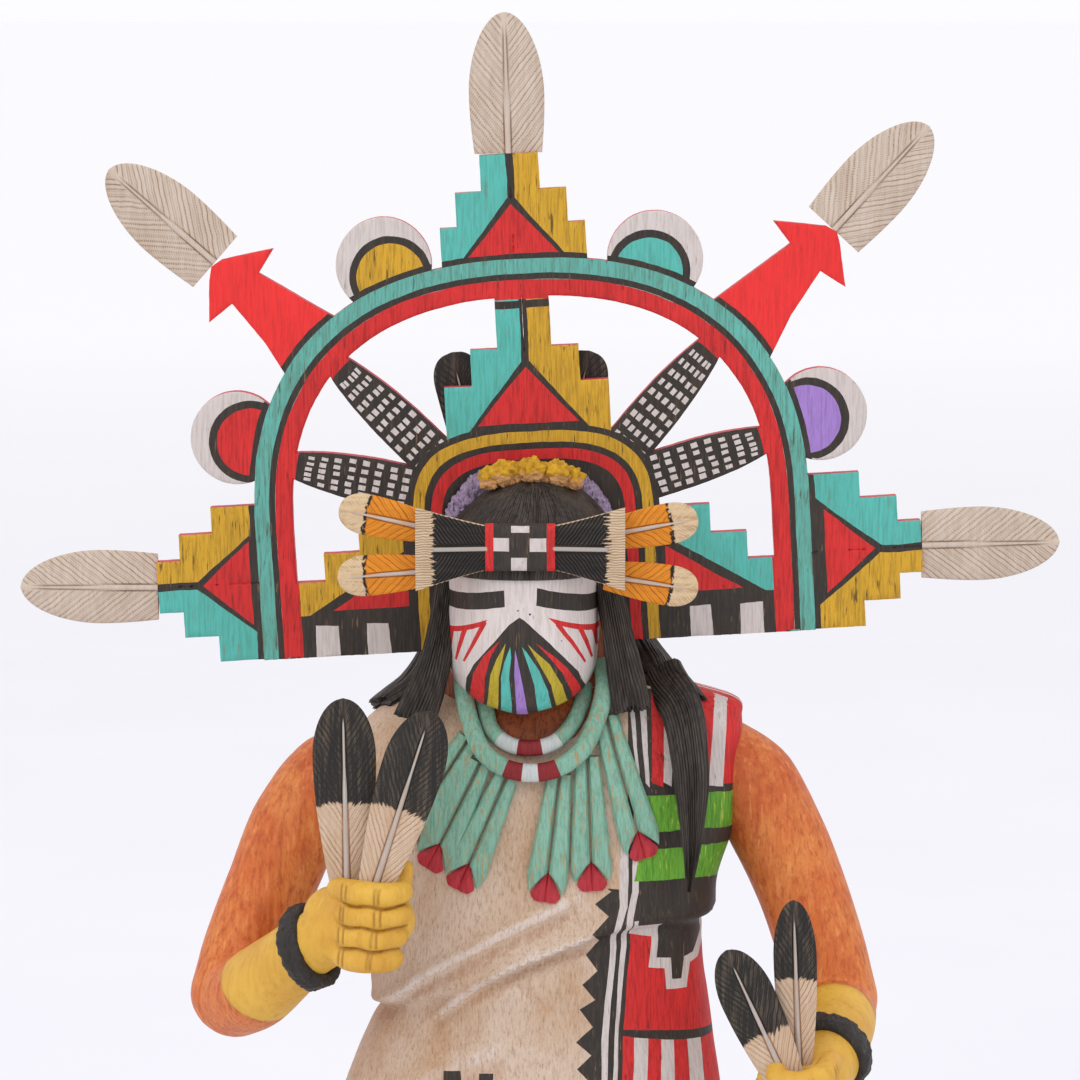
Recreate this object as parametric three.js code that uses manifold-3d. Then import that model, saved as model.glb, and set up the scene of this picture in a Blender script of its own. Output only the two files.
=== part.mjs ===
// A carved and painted Butterfly Maiden doll: one cottonwood figure on a low round base, a tall
// pierced headdress board, and separately carved feathers, brow bow and flowers.
// Millimetres. X runs to the viewer's right, Y away from the viewer, Z up; the base stands on Z = 0.
import * as THREE from "three";
import { mergeVertices } from "three/addons/utils/BufferGeometryUtils.js";
import Module from "manifold-3d";

const wasm = await Module();
wasm.setup();

// ---------------------------------------------------------------- sizes

const GAP = 0.3; // between two pieces that touch
const BASE = { radius: 63, height: 13, chamfer: 2 };

// Level sections of the robed body: height, side edges, front and back depth.
const ROBE = [
  { z: 47, left: -55.6, right: 53.6, front: 35.6, back: 35.6 },
  { z: 84, left: -55, right: 52.5, front: 35.5, back: 35.5 },
  { z: 120, left: -53.5, right: 49.5, front: 33.5, back: 34 },
  { z: 149, left: -49, right: 46, front: 30, back: 31 },
  { z: 164, left: -43.5, right: 43.5, front: 27.5, back: 29 },
  { z: 169, left: -41, right: 42.8, front: 26.7, back: 28.3 },
  { z: 173, left: -41, right: 42.2, front: 26.6, back: 27.9 },
  { z: 178, left: -42, right: 41.5, front: 27, back: 27.5 },
  { z: 184, left: -42.5, right: 41, front: 26.8, back: 27 },
  { z: 190, left: -42.5, right: 41, front: 26.5, back: 26.5 },
  { z: 195, left: -42.3, right: 42, front: 26, back: 26 },
  { z: 202, left: -42, right: 43.5, front: 25.4, back: 25.4 },
  { z: 213, left: -43, right: 47.5, front: 24, back: 24.5 },
  { z: 226, left: -46, right: 49.5, front: 22, back: 23 },
  { z: 236, left: -47, right: 50, front: 19.5, back: 20.5 },
  { z: 243, left: -43, right: 50.5, front: 17, back: 18 },
  { z: 248, left: -35, right: 48.5, front: 14.5, back: 15 },
  { z: 252, left: -21, right: 35, front: 11.3, back: 12 },
];
const ROBE_POWER = 2.35;
const ROBE_SIDES = 24;
const SKIRT = { top: 150, folds: 9, depth: 1.6, fade: 60 };
// The blouse hangs over the sash: its edge climbs from the viewer's left to the right.
const BLOUSE = {
  edge: [[-80, 160], [-41, 170.5], [-5, 184.5], [14, 192], [41, 193.5], [80, 196]],
  depth: 3,
  fade: 24,
};
// Slanting ridges in the cloth in front: the line each follows, its width and its height.
const CREASES = [
  { line: [[-40, 172], [-27.5, 182.7], [-15, 190], [-5, 195.3], [6, 200.5]], width: 3, depth: 1.3 },
  { line: [[-26, 171], [-15, 180], [-8, 184.3], [1, 188.4], [13, 192.4]], width: 3, depth: 1.3 },
  { line: [[-40, 148], [-28, 156], [-16, 162], [-4, 166]], width: 3.4, depth: 1.2 },
];

// The left and right arms: centre line, and radius at each of its points.
const UPPER_ARM_RADII = [10, 12, 11.8, 11.3, 11.2, 11];
const FOREARM_RADII = [10.6, 10.2, 9.2, 8, 7.4];
const LEFT_ARM = {
  upper: [[-38, 4, 232], [-52.5, 3, 226], [-62, 1, 214], [-68, 0, 200], [-74.2, -2, 184], [-77.6, -5, 172.8]],
  fore: [[-77, -6, 172.2], [-71.4, -16, 176.6], [-64, -26, 184.4], [-56, -36, 193], [-49, -42, 198]],
};
const RIGHT_ARM = {
  upper: [[42, 4, 234], [52, 3, 226], [59.6, 2, 213], [65.4, 0, 200], [70.8, -2, 184], [74.2, -5, 171]],
  fore: [[74.2, -6, 170], [73.6, -15, 168], [72.4, -25, 166.2], [70.2, -37, 164.2], [67.4, -46, 162.4]],
};
// A band round each wrist: radius inside, thickness and half its width; where it sits along the
// forearm, and the way it faces.
const BRACELET = { inside: 7, thick: 2.6, half: 2.5 };
const LEFT_BRACELET = { at: [-56.6, -34.5, 192], facing: [0.85, -0.4, 0.34] };
const RIGHT_BRACELET = { at: [70.6, -34, 164.6], facing: [-0.36, -0.9, -0.2] };
// The fist: finger thickness and spacing, how far the fingertips reach, and where each fist is.
const FINGER = { radius: 2.95, pitch: 5.5, reach: 8.6 };
const LEFT_FIST = {
  at: [-42.2, -46.5, 201.4], turn: -8, roll: 3, side: 1,
  thumb: [[3, 6.5, 2], [7.4, 5.2, 8], [8.2, 4.6, 12.6]],
};
const RIGHT_FIST = {
  at: [63.4, -50.2, 159.2], turn: 30, roll: -8, pitch: 14, side: -1,
  thumb: [[3, 6.5, -2], [7, 5.6, 2], [8, 5, 5]],
};

const HEAD_X = -4.6; // the middle line of the mask and the back hair
// Level sections of the mask and the hair over it.
const HEAD = [
  { z: 248.3, left: -10.6, right: 1.4, front: 27, back: 6 },
  { z: 249.6, left: -16.1, right: 6.9, front: 30, back: 8 },
  { z: 252.4, left: -20.6, right: 11.4, front: 31.5, back: 9.5 },
  { z: 256.5, left: -23, right: 13.8, front: 32.3, back: 11 },
  { z: 263, left: -23.8, right: 14.6, front: 32.5, back: 12 },
  { z: 276, left: -23.9, right: 14.7, front: 32, back: 13 },
  { z: 287, left: -23.2, right: 15.4, front: 31.4, back: 13.5 },
  { z: 293.5, left: -20.8, right: 16, front: 29.5, back: 13.5 },
  { z: 298.5, left: -16.2, right: 12.9, front: 25.5, back: 11.5 },
  { z: 301.8, left: -12.2, right: 8.8, front: 20.5, back: 8 },
  { z: 303.6, left: -7.6, right: 4.2, front: 14.5, back: 3 },
];
const HEAD_POWER = 2.3;
const HEAD_SIDES = 16;
// The woolly roll over the hair: an arch in front of the board.
const HEADBAND = { x: -2.7, foot: 276, half: 21.4, rise: 22.8, spring: 9, power: 2.6, width: 5.6, deep: 6 };

// Locks of hair: centre line, with half the width and half the thickness at each point.
const LOCKS = [
  { path: [[-21, -9, 290], [-23, -12, 279], [-25, -14, 266], [-28, -17, 254.5], [-31.5, -18.5, 245.8]],
    wide: [3, 3.4, 3.8, 4.4, 5.2], deep: [3, 3.2, 3.2, 3, 2.6] },
  { path: [[-15, 10.5, 280], [-20, 12, 268], [-26, 13.4, 258], [-32.5, 5.5, 250.6], [-41.5, 1, 245.4]],
    wide: [5, 5.6, 6.2, 9, 7.5], deep: [4, 5, 4.4, 3.2, 2.2], over: true },
  { path: [[14, -8, 290], [17, -11, 279], [19.5, -14, 266], [21.3, -16.6, 256], [22.8, -18.2, 249.4]],
    wide: [3, 3.4, 3.7, 4, 4.3], deep: [3, 3.2, 3.2, 3, 2.8] },
  { path: [[9, 10.5, 280], [17, 11.8, 270], [24, 12.4, 260], [31, 3, 252.5], [36, -10, 248.5]],
    wide: [5, 5.6, 6.2, 8.4, 6], deep: [4, 5, 4.6, 4.2, 3.4], over: true },
  { path: [[33, -9, 250.5], [35.5, -17, 246], [36.5, -21.5, 236], [37, -24, 222], [36.8, -26, 212],
    [36.2, -27, 205]],
    wide: [5.5, 5, 4.6, 4, 2.6, 0.7], deep: [3.4, 3.2, 3, 2.6, 2, 1] },
];
const BACK_HAIR = [
  { z: 196, half: 15, front: -18, back: 31.5 },
  { z: 202, half: 19, front: -17, back: 32.5 },
  { z: 226, half: 21.5, front: -13, back: 30.5 },
  { z: 246, half: 21.5, front: -5.2, back: 24.5 },
  { z: 262, half: 19, front: -5.2, back: 19.5 },
  { z: 282, half: 17, front: -5.2, back: 17.5 },
  { z: 296, half: 12, front: -5.2, back: 13.5 },
];

const STRANDS = [
  { path: [[-19.5, -8, 257], [-19, -15, 251], [-17.2, -19, 244], [-14.2, -22, 238], [-8.5, -24, 234.2],
    [-2.5, -24.5, 233.2], [3.5, -24.5, 234.2], [9.5, -23, 238], [13.5, -20, 245], [15.5, -16, 252],
    [15.5, -8, 258]], wide: 2.3, deep: 1.6, steps: 12 },
  { path: [[-15, -8, 254], [-13.8, -14.5, 248], [-12, -18, 242.6], [-8, -20.5, 239.6], [-2.7, -21.5, 238.8],
    [2.6, -21, 239.8], [7.1, -18.5, 243.4], [10, -14.5, 248.5], [11, -8, 254]],
    wide: 2.1, deep: 1.5, steps: 10 },
];
// Pendant pairs of the necklace: the top and the tip of each pair.
const PENDANTS = [
  { top: [-17.8, 240.5], tip: [-34, 217] },
  { top: [-15, 235], tip: [-28, 209.6] },
  { top: [-8.2, 232.5], tip: [-20.4, 204.6] },
  { top: [4.6, 232.5], tip: [0.9, 202] },
  { top: [11.4, 236.5], tip: [12.5, 204.6] },
  { top: [16, 246], tip: [25.6, 212.4] },
];
const PENDANT = { topHalf: 3.1, half: 5.2, fan: 7, proud: 2.4 };

// The headdress board, drawn in its own plane: x from its middle line, y up from its bottom edge.
const BOARD = { x: 0, z: 260.9, tilt: 3.2, thick: 4.5 };
const ARCH = { x: -0.3, half: 69.3, rise: 64.5, spring: 32.5, power: 2.4, band: 9.3 };
const HEAD_ARCH = { half: 31.5, rise: 24, spring: 31.5, power: 3 };
const HEAD_HOLE = { x: -3.6, half: 20.6, rise: 14.8, spring: 290, foot: 255, power: 2.2 };
const CREST = { steps: [[20.5, 54], [20.5, 66], [13.5, 66], [13.5, 75], [6.75, 75], [6.75, 88]] };
const TOP_TABLET = {
  x: -1.2,
  steps: [[18, 90], [18, 105.5], [13.75, 105.5], [13.75, 114], [7.25, 114], [7.25, 123]],
};
// The side tablets' middle line, and their outline: half the height at each distance outwards.
const SIDE_TABLETS = [
  { side: -1, y: 19.7, steps: [[19.5, 66], [19.5, 80.6], [13, 80.6], [13, 89], [6.5, 89], [6.5, 95]] },
  { side: 1, y: 19.7, steps: [[19.5, 66], [19.5, 81.6], [13, 81.6], [13, 90.7], [6.5, 90.7], [6.5, 96.5]] },
];
const LOW_PANEL = [[29, 0], [63, 0], [63, 19], [53, 19], [53, 26], [44, 26], [44, 33.3], [29, 33.3]];
const SCALLOPS = [[33.6, 96.2, 11.9], [72.7, 55.3, 11.6]];
const ARROW = [
  [44, 82.5], [59, 68], [65.3, 79.4], [73, 89.8], [79, 85.5], [78.2, 96], [77.5, 99.3], [75, 100.8],
  [62, 102.8], [66, 97],
];
const ARROW_SHIFT = 1.3;
const EARS = [
  { from: [22, 46.5], to: [49, 75.5] },
  { from: [28, 40.5], to: [62.5, 49.6] },
];
const EAR_HALF = 5.75;
const EAR_TAPER = 0.3; // the share of an ear's length that keeps its full width

// Feathers: length, half the width, half the thickness, the tapering share at the tip, the base's
// share of the width, and how round the tip is. Each feather in a fist has its own size.
const FEATHER_ROWS = [0, 0.4, 0.7, 0.87, 1];
const OUTER_FEATHER = { length: 34.5, half: 9.3, thick: 1.9, tip: 0.58, base: 0.9, round: 1.9 };
const HELD_FEATHER = { thick: 1.5, tip: 0.3, base: 0.52, round: 2 };
const BOW_FEATHER = { length: 22.8, half: 5, thick: 1.2, tip: 0.3, base: 0.7, round: 2.2 };
const BACK_FEATHER = { length: 51.5, half: 6.2, thick: 1.3, tip: 0.16, base: 0.7, round: 2.4 };

// Feathers at the board's rim: foot in the board's plane, and lean from upright in that plane.
const RIM = [
  { name: "top_feather", foot: [-1.2, 123], lean: 1.5 },
  { name: "left_side_feather", foot: [-95, 19.8], lean: -86.8, off: 0.5 },
  { name: "right_side_feather", foot: [96.5, 19.8], lean: 92, off: 0.5 },
  { name: "left_upper_feather", foot: [-75.2, 100.2], lean: -45.5, off: 0.8 },
  { name: "right_upper_feather", foot: [78, 99.6], lean: 45.5, off: 0.8 },
];
// The feathers held in the fists: where the quill ends, and how far each leans.
const HELD = [
  { name: "left_hand_feather_outer", at: [-46.6, -46.4, 209], roll: -1, pitch: 2, length: 46.5, half: 7.6 },
  { name: "left_hand_feather_inner", at: [-40.2, -50.2, 209.6], roll: 17.8, pitch: 2, length: 45.6, half: 7.5 },
  { name: "right_hand_feather_inner", at: [61.8, -55.3, 158], roll: -25, pitch: 4, length: 41.5, half: 6.6 },
  { name: "right_hand_feather_outer", at: [62.2, -51.4, 161], roll: -2, pitch: 4, length: 46, half: 5.2 },
];

const BOW = {
  x: -5, z: 290.6, half: 25.2, waist: 5.3, end: 10.2, front: -36.4, back: -28, block: 8.8, tall: 5.9,
};
const BOW_FEATHERS = [
  { name: "bow_feather_upper_left", foot: [-26.5, 294.6], lean: -77.5 },
  { name: "bow_feather_lower_left", foot: [-26.5, 284.4], lean: -94.5 },
  { name: "bow_feather_upper_right", foot: [15.5, 293], lean: 79.5 },
  { name: "bow_feather_lower_right", foot: [15.5, 283.2], lean: 99 },
];
const BACK_FEATHERS = [
  { name: "left_back_feather", foot: [-9.5, 284], lean: -14.5 },
  { name: "right_back_feather", foot: [1, 284], lean: 12.5 },
];
const FLOWERS = { count: 5, x: -3.2, span: 10.6, y: -10.5, z: 305.2, radius: 3.5 };

// ---------------------------------------------------------------- building blocks

const vec = (p) => new THREE.Vector3(...p);
const curve = (points) => new THREE.CatmullRomCurve3(points.map(vec), false, "centripetal");

// A value read from a list that is spread evenly over t = 0 to 1.
function along(list, t) {
  const at = t * (list.length - 1);
  const i = Math.min(Math.floor(at), list.length - 2);
  return THREE.MathUtils.lerp(list[i], list[i + 1], at - i);
}

// A closed solid from a stack of rings with equally many points, each anticlockwise from above.
function loft(rings) {
  const sides = rings[0].length;
  const faces = [];
  for (let i = 0; i + 1 < rings.length; i++) {
    for (let j = 0; j < sides; j++) {
      const a = i * sides + j;
      const b = i * sides + ((j + 1) % sides);
      faces.push(a, b, b + sides, a, b + sides, a + sides);
    }
  }
  const last = (rings.length - 1) * sides;
  for (let j = 1; j + 1 < sides; j++) {
    faces.push(0, j + 1, j, last, last + j, last + j + 1);
  }
  const geometry = new THREE.BufferGeometry().setFromPoints(rings.flat());
  geometry.setIndex(faces);
  return geometry;
}

function toSolid(geometry) {
  const bare = geometry.clone();
  bare.deleteAttribute("normal");
  bare.deleteAttribute("uv");
  const merged = mergeVertices(bare, 1e-4);
  const mesh = new wasm.Mesh({
    numProp: 3,
    vertProperties: new Float32Array(merged.attributes.position.array),
    triVerts: new Uint32Array(merged.index.array),
  });
  return new wasm.Manifold(mesh);
}

function toGeometry(solid) {
  const { vertProperties, triVerts } = solid.getMesh();
  const geometry = new THREE.BufferGeometry();
  geometry.setAttribute("position", new THREE.BufferAttribute(vertProperties, 3));
  geometry.setIndex(new THREE.BufferAttribute(triVerts, 1));
  const faceted = geometry.toNonIndexed();
  faceted.computeVertexNormals();
  return faceted;
}

const joined = (geometries) => geometries.map(toSolid).reduce((whole, piece) => whole.add(piece));

// A rounded level section: power 2 is an ellipse, and more is squarer.
function section({ z, left, right, front, back }, sides, power, swell = () => 0) {
  const ring = [];
  for (let i = 0; i < sides; i++) {
    const angle = (i / sides) * 2 * Math.PI;
    const c = Math.cos(angle);
    const s = Math.sin(angle);
    const out = (Math.abs(c) ** power + Math.abs(s) ** power) ** (-1 / power);
    const x = (left + right) / 2 + ((right - left) / 2) * c * out;
    const y = s * out * (s < 0 ? front : back);
    const more = swell(x, y, z, angle);
    ring.push(new THREE.Vector3(x + c * more, y + s * more, z));
  }
  return ring;
}

// A limb with round ends: rings of a changing radius along a smooth centre line.
function limb(points, radii, { sides = 10, steps = 5, dome = [0.7] } = {}) {
  const line = curve(points);
  const frames = line.computeFrenetFrames(steps, false);
  const rings = [];
  const addRing = (centre, i, radius) => {
    const ring = [];
    for (let j = 0; j < sides; j++) {
      const angle = (j / sides) * 2 * Math.PI;
      ring.push(
        centre.clone()
          .addScaledVector(frames.normals[i], Math.cos(angle) * radius)
          .addScaledVector(frames.binormals[i], Math.sin(angle) * radius),
      );
    }
    rings.push(ring);
  };
  for (const share of dome) {
    const lift = Math.cos(Math.asin(share)) * radii[0];
    addRing(line.getPointAt(0).addScaledVector(frames.tangents[0], -lift), 0, share * radii[0]);
  }
  for (let i = 0; i <= steps; i++) {
    addRing(line.getPointAt(i / steps), i, along(radii, i / steps));
  }
  const end = radii.at(-1);
  for (const share of dome.toReversed()) {
    const lift = Math.cos(Math.asin(share)) * end;
    addRing(line.getPointAt(1).addScaledVector(frames.tangents[steps], lift), steps, share * end);
  }
  return loft(rings);
}

// A flattened ribbon of an oval section along a path. It lies flat against the front of the body,
// or over the shoulder from front to back.
function ribbon({ path, wide, deep, over = false, steps = 5 }, sides) {
  const line = curve(path);
  const rings = [];
  for (let i = 0; i <= steps; i++) {
    const t = i / steps;
    const tangent = line.getTangentAt(t);
    const facing = over ? new THREE.Vector3(0, 1, 0) : new THREE.Vector3(0, -1, 0);
    const across = tangent.clone().cross(facing).normalize();
    const out = across.clone().cross(tangent).normalize();
    const [u, v] = over ? [out, across] : [across, out];
    const halfWide = Array.isArray(wide) ? along(wide, t) : wide;
    const halfDeep = Array.isArray(deep) ? along(deep, t) : deep;
    const ring = [];
    for (let j = 0; j < sides; j++) {
      const angle = ((j + 0.5) / sides) * 2 * Math.PI;
      ring.push(
        line.getPointAt(t)
          .addScaledVector(u, Math.cos(angle) * halfWide)
          .addScaledVector(v, Math.sin(angle) * halfDeep),
      );
    }
    rings.push(ring);
  }
  const solid = loft(rings);
  return signedVolume(solid) < 0 ? loft(rings.toReversed()) : solid;
}

function signedVolume(geometry) {
  const p = geometry.attributes.position;
  const corner = (i) => new THREE.Vector3().fromBufferAttribute(p, geometry.index.array[i]);
  let total = 0;
  for (let i = 0; i < geometry.index.count; i += 3) {
    total += corner(i).dot(corner(i + 1).cross(corner(i + 2)));
  }
  return total;
}

// A flat plate of the given outline in the XZ plane, from y = 0 back to its thickness.
function plate(points, thick) {
  const shape = new THREE.Shape(points.map(([x, y]) => new THREE.Vector2(x, y)));
  const geometry = new THREE.ExtrudeGeometry(shape, { depth: thick, bevelEnabled: false });
  return geometry.rotateX(Math.PI / 2).translate(0, thick, 0);
}

const mirrored = (points) => points.map(([x, y]) => [-x, y]).toReversed();

// ---------------------------------------------------------------- the figure

// The height of a line drawn on the cloth at a distance from the middle.
function heightAt(line, x) {
  const i = Math.max(1, line.findIndex(([far]) => far >= x));
  const [[x0, z0], [x1, z1]] = [line[i - 1], line[i]];
  return THREE.MathUtils.mapLinear(x, x0, x1, z0, z1);
}

// How far cloth stands out from the body's plain form at a point.
function drapery(x, y, z, angle) {
  let out = 0;
  if (z < SKIRT.top) {
    const strength = Math.min(1, (SKIRT.top - z) / SKIRT.fade);
    out += strength * SKIRT.depth * Math.cos(angle * SKIRT.folds + 0.6);
  }
  const hang = z - heightAt(BLOUSE.edge, x);
  if (hang > 0 && hang < BLOUSE.fade) {
    out += BLOUSE.depth * Math.min(1, hang / 1.5) * (1 - hang / BLOUSE.fade) ** 2;
  }
  if (y < 0) {
    for (const { line, width, depth } of CREASES) {
      const inside = Math.min(x - line[0][0], line.at(-1)[0] - x);
      const near = Math.min(1, Math.max(0, inside / 6));
      out += depth * near * Math.exp(-(((z - heightAt(line, x)) / width) ** 2));
    }
  }
  return out;
}

function robe() {
  return loft(ROBE.map((level) => section(level, ROBE_SIDES, ROBE_POWER, drapery)));
}

function headSections(grow = 0) {
  return HEAD.map(({ z, left, right, front, back }, i) => {
    const lift = i === 0 ? -grow : i === HEAD.length - 1 ? grow : 0;
    const ends = { left: left - grow, right: right + grow };
    const level = { z: z + lift, ...ends, front: front + grow, back: back + grow };
    return section(level, HEAD_SIDES, HEAD_POWER);
  });
}

function backHair(grow = 0) {
  return loft(BACK_HAIR.map(({ z, half, front, back }) => {
    const middle = HEAD_X * Math.min(1, Math.max(0, (z - 200) / 60));
    const ends = { left: middle - half - grow, right: middle + half + grow };
    return section({ z, ...ends, front: front + grow, back: back + grow }, 12, 2.6);
  }));
}

// The woolly roll that stands over the hair in front of the board.
function headband() {
  const { x, foot, width, deep } = HEADBAND;
  const outline = [...arch(HEADBAND, 0, 10), ...arch(HEADBAND, width, 10).toReversed()];
  return plate(outline, deep).translate(x, -deep - GAP, foot);
}

// A fist: a palm, four fingers bent round in front of it and a thumb behind, built level with the
// palm's middle at the origin and the fingertips towards +X for side 1, towards -X for side -1.
function fist({ side, thumb }) {
  const { radius, pitch, reach } = FINGER;
  const bent = (points, ...rest) => limb(points.map(([x, y, z]) => [side * x, y, z]), ...rest);
  const palm = [[-9, 6, -1], [-4, 4, 0], [1, 3.5, 0], [4, 3, 0]];
  const parts = [bent(palm, [7.4, 8.8, 8.8, 7.4], { sides: 8, steps: 3 })];
  for (let i = 0; i < 4; i++) {
    const z = (1.5 - i) * pitch;
    const tip = reach + 1 - 0.8 * Math.abs(i - 0.6);
    const path = [[-7, -1, z * 0.94], [-2, -5.4, z], [tip - 3.6, -5.7, z], [tip - 0.4, -1.6, z]];
    parts.push(bent(path, [radius * 0.95, radius, radius, radius * 0.93], { sides: 5, steps: 4, dome: [] }));
  }
  parts.push(bent(thumb, [3.4, 2.8, 2.2], { sides: 5, steps: 2, dome: [] }));
  return toGeometry(joined(parts));
}

function placed(geometry, [x, y, z], { turn = 0, roll = 0, pitch = 0 } = {}) {
  const moved = geometry.clone();
  const angles = new THREE.Euler(
    THREE.MathUtils.degToRad(pitch), THREE.MathUtils.degToRad(roll), THREE.MathUtils.degToRad(turn), "ZYX");
  moved.applyMatrix4(new THREE.Matrix4().makeRotationFromEuler(angles));
  return moved.translate(x, y, z);
}

// A band round the wrist.
function bracelet({ at, facing }) {
  const { inside, thick, half } = BRACELET;
  const profile = [[0, -half], [thick, -half], [thick + 0.4, 0], [thick, half], [0, half], [0, -half]]
    .map(([out, up]) => new THREE.Vector2(inside + out, up));
  const upright = new THREE.Vector3(0, 1, 0);
  const spin = new THREE.Quaternion().setFromUnitVectors(upright, vec(facing).normalize());
  return new THREE.LatheGeometry(profile, 12).applyQuaternion(spin).translate(...at);
}

// A pair of long bevelled tabs side by side, ending in a fan, lying on the chest.
function pendant({ top, tip }) {
  const start = new THREE.Vector2(...top);
  const axis = new THREE.Vector2(...tip).sub(start);
  const length = axis.length();
  axis.normalize();
  const side = new THREE.Vector2(-axis.y, axis.x);
  const { topHalf, half, fan, proud } = PENDANT;
  const spread = [[length - fan, half, 1], [length - 2.4, half * 0.86, 0.8], [length, half * 0.4, 0.5]];
  const rows = [[0, topHalf, 0.8], ...spread];
  const rings = rows.map(([far, wide, thick]) => {
    const across = [[-1, -2.2], [1, -2.2], [1, 0.35], [0.5, 1], [0, 0.15], [-0.5, 1], [-1, 0.35]];
    return across.map(([u, out]) => {
      const at = start.clone().addScaledVector(axis, far).addScaledVector(side, u * wide);
      const chest = chestFront(at.x, at.y);
      return new THREE.Vector3(at.x, chest - out * (out > 0 ? proud * thick : 1.2), at.y);
    });
  });
  const solid = loft(rings);
  return signedVolume(solid) < 0 ? loft(rings.toReversed()) : solid;
}

// The front of the chest at a point, read from the robe's level sections.
function chestFront(x, z) {
  const i = Math.max(0, ROBE.findIndex((level) => level.z >= z) - 1);
  const [low, high] = [ROBE[i], ROBE[i + 1]];
  const t = (z - low.z) / (high.z - low.z);
  const mix = (key) => THREE.MathUtils.lerp(low[key], high[key], t);
  const u = Math.min(0.95, Math.abs((2 * x - mix("left") - mix("right")) / (mix("right") - mix("left"))));
  return -mix("front") * (1 - u ** ROBE_POWER) ** (1 / ROBE_POWER);
}

// A wrapped boot: a leg down from under the hem and a foot with a flat sole.
function boot(x) {
  const sole = BASE.height + GAP;
  const leg = [[62, 11], [46, 10.5], [28, 9.5], [sole, 9.5]]
    .map(([z, half]) => ({ z, left: x - half, right: x + half, front: half + 1, back: half + 1 }))
    .map((level) => section(level, 12, 2))
    .toReversed();
  const foot = [[15, 5, 7], [11, 8.6, 13], [-6, 10, 15], [-20, 10.6, 11.5], [-30, 9, 8.5], [-35, 5, 5.5]]
    .map(([y, half, tall]) => {
      const ring = [];
      for (let i = 0; i <= 6; i++) {
        const angle = (i / 6) * Math.PI;
        ring.push(new THREE.Vector3(x + Math.cos(angle) * half, y, sole + Math.sin(angle) * tall));
      }
      return ring;
    });
  return [loft(leg), loft(foot)];
}

function figure() {
  const neck = loft([
    section({ z: 240, left: -15, right: 12, front: 17, back: 12 }, 14, 2),
    section({ z: 252, left: -15.5, right: 9, front: 15, back: 11 }, 14, 2),
    section({ z: 262, left: -15, right: 7, front: 12, back: 10 }, 14, 2),
  ]);
  const arms = [LEFT_ARM, RIGHT_ARM].flatMap(({ upper, fore }) => [
    limb(upper, UPPER_ARM_RADII, { dome: [0.4, 0.8] }),
    limb(fore, FOREARM_RADII, { steps: 4 }),
  ]);
  const leftHand = placed(fist(LEFT_FIST), LEFT_FIST.at, LEFT_FIST);
  const rightHand = placed(fist(RIGHT_FIST), RIGHT_FIST.at, RIGHT_FIST);
  const carved = joined([
    robe(), neck, loft(headSections()), backHair(), headband(), ...arms, leftHand, rightHand,
    bracelet(LEFT_BRACELET), bracelet(RIGHT_BRACELET),
    ...LOCKS.map((lock) => ribbon(lock, 6)), ...STRANDS.map((strand) => ribbon(strand, 4)),
    ...PENDANTS.map(pendant), ...boot(-21), ...boot(19),
  ]);
  return HELD.reduce((whole, held) => whole.subtract(toSolid(heldFeather(held, GAP))), carved);
}

// ---------------------------------------------------------------- feathers

// A feather stands up from the origin, its flat back towards +Y and its carved quill towards -Y.
function feather({ length, half, thick, tip, base, round }, grow = 0) {
  const rings = [];
  for (const t of FEATHER_ROWS) {
    const toTip = Math.max(0, (t - (1 - tip)) / tip);
    const broad = base + (1 - base) * Math.sin(Math.min(1, t / (1 - tip)) * Math.PI / 2);
    const width = half * broad * Math.max(0.06, (1 - toTip ** round)) ** (1 / round) + grow;
    const body = thick * (1 - 0.35 * toTip) + grow;
    const quill = Math.min(0.16 * half * (1.1 - t), width * 0.4);
    const outline = [
      [-width, -0.4], [-quill, -0.75], [0, -1], [quill, -0.75], [width, -0.4], [width, 0.5], [-width, 0.5],
    ];
    const z = -grow + t * (length + 2 * grow);
    rings.push(outline.map(([x, y]) => new THREE.Vector3(x, y * body, z)));
  }
  return loft(rings);
}

function heldFeather({ at, roll, pitch, length, half }, grow = 0) {
  return placed(feather({ ...HELD_FEATHER, length, half }, grow), at, { roll, pitch: -pitch });
}

// ---------------------------------------------------------------- the headdress board

// An arch on straight legs, as points from the right foot over to the left foot.
function arch({ half, rise, spring, power }, inset = 0, steps = 22) {
  const points = [[half - inset, 0]];
  for (let i = 0; i <= steps; i++) {
    const angle = (i / steps) * Math.PI;
    const c = Math.cos(angle);
    const s = Math.sin(angle);
    const out = (Math.abs(c) ** power + Math.abs(s) ** power) ** (-1 / power);
    points.push([(half - inset) * c * out, spring + (rise - inset) * s * out]);
  }
  points.push([-(half - inset), 0]);
  return points;
}

// A stepped tablet from its right-hand outline, mirrored about its own middle line.
const stepped = (steps) => [...steps, ...steps.toReversed().map(([across, up]) => [-across, up])];

function ear({ from, to }) {
  const start = new THREE.Vector2(...from);
  const axis = new THREE.Vector2(...to).sub(start);
  const side = new THREE.Vector2(-axis.y, axis.x).normalize();
  const edge = (sign) => [0, 0.3, 0.54, 0.72, 0.86, 1].map((t) => {
    const past = Math.max(0, t - EAR_TAPER) / (1 - EAR_TAPER);
    const wide = EAR_HALF * Math.sqrt(1 - 0.9 * past ** 1.7);
    const p = start.clone().addScaledVector(axis, t).addScaledVector(side, sign * wide);
    return [p.x, p.y];
  });
  return [...edge(-1), ...edge(1).toReversed()];
}

function disc([x, y, radius], steps = 14) {
  const points = [];
  for (let i = 0; i < steps; i++) {
    const angle = (i / steps) * 2 * Math.PI;
    points.push([x + radius * Math.cos(angle), y + radius * Math.sin(angle)]);
  }
  return points;
}

// A tablet that lies on its side, stepping outwards from the arch.
function sideTablet({ side, y, steps }) {
  const outline = stepped(steps).map(([across, out]) => [out, y - across]);
  return plate(side < 0 ? mirrored(outline) : outline, BOARD.thick);
}

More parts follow.
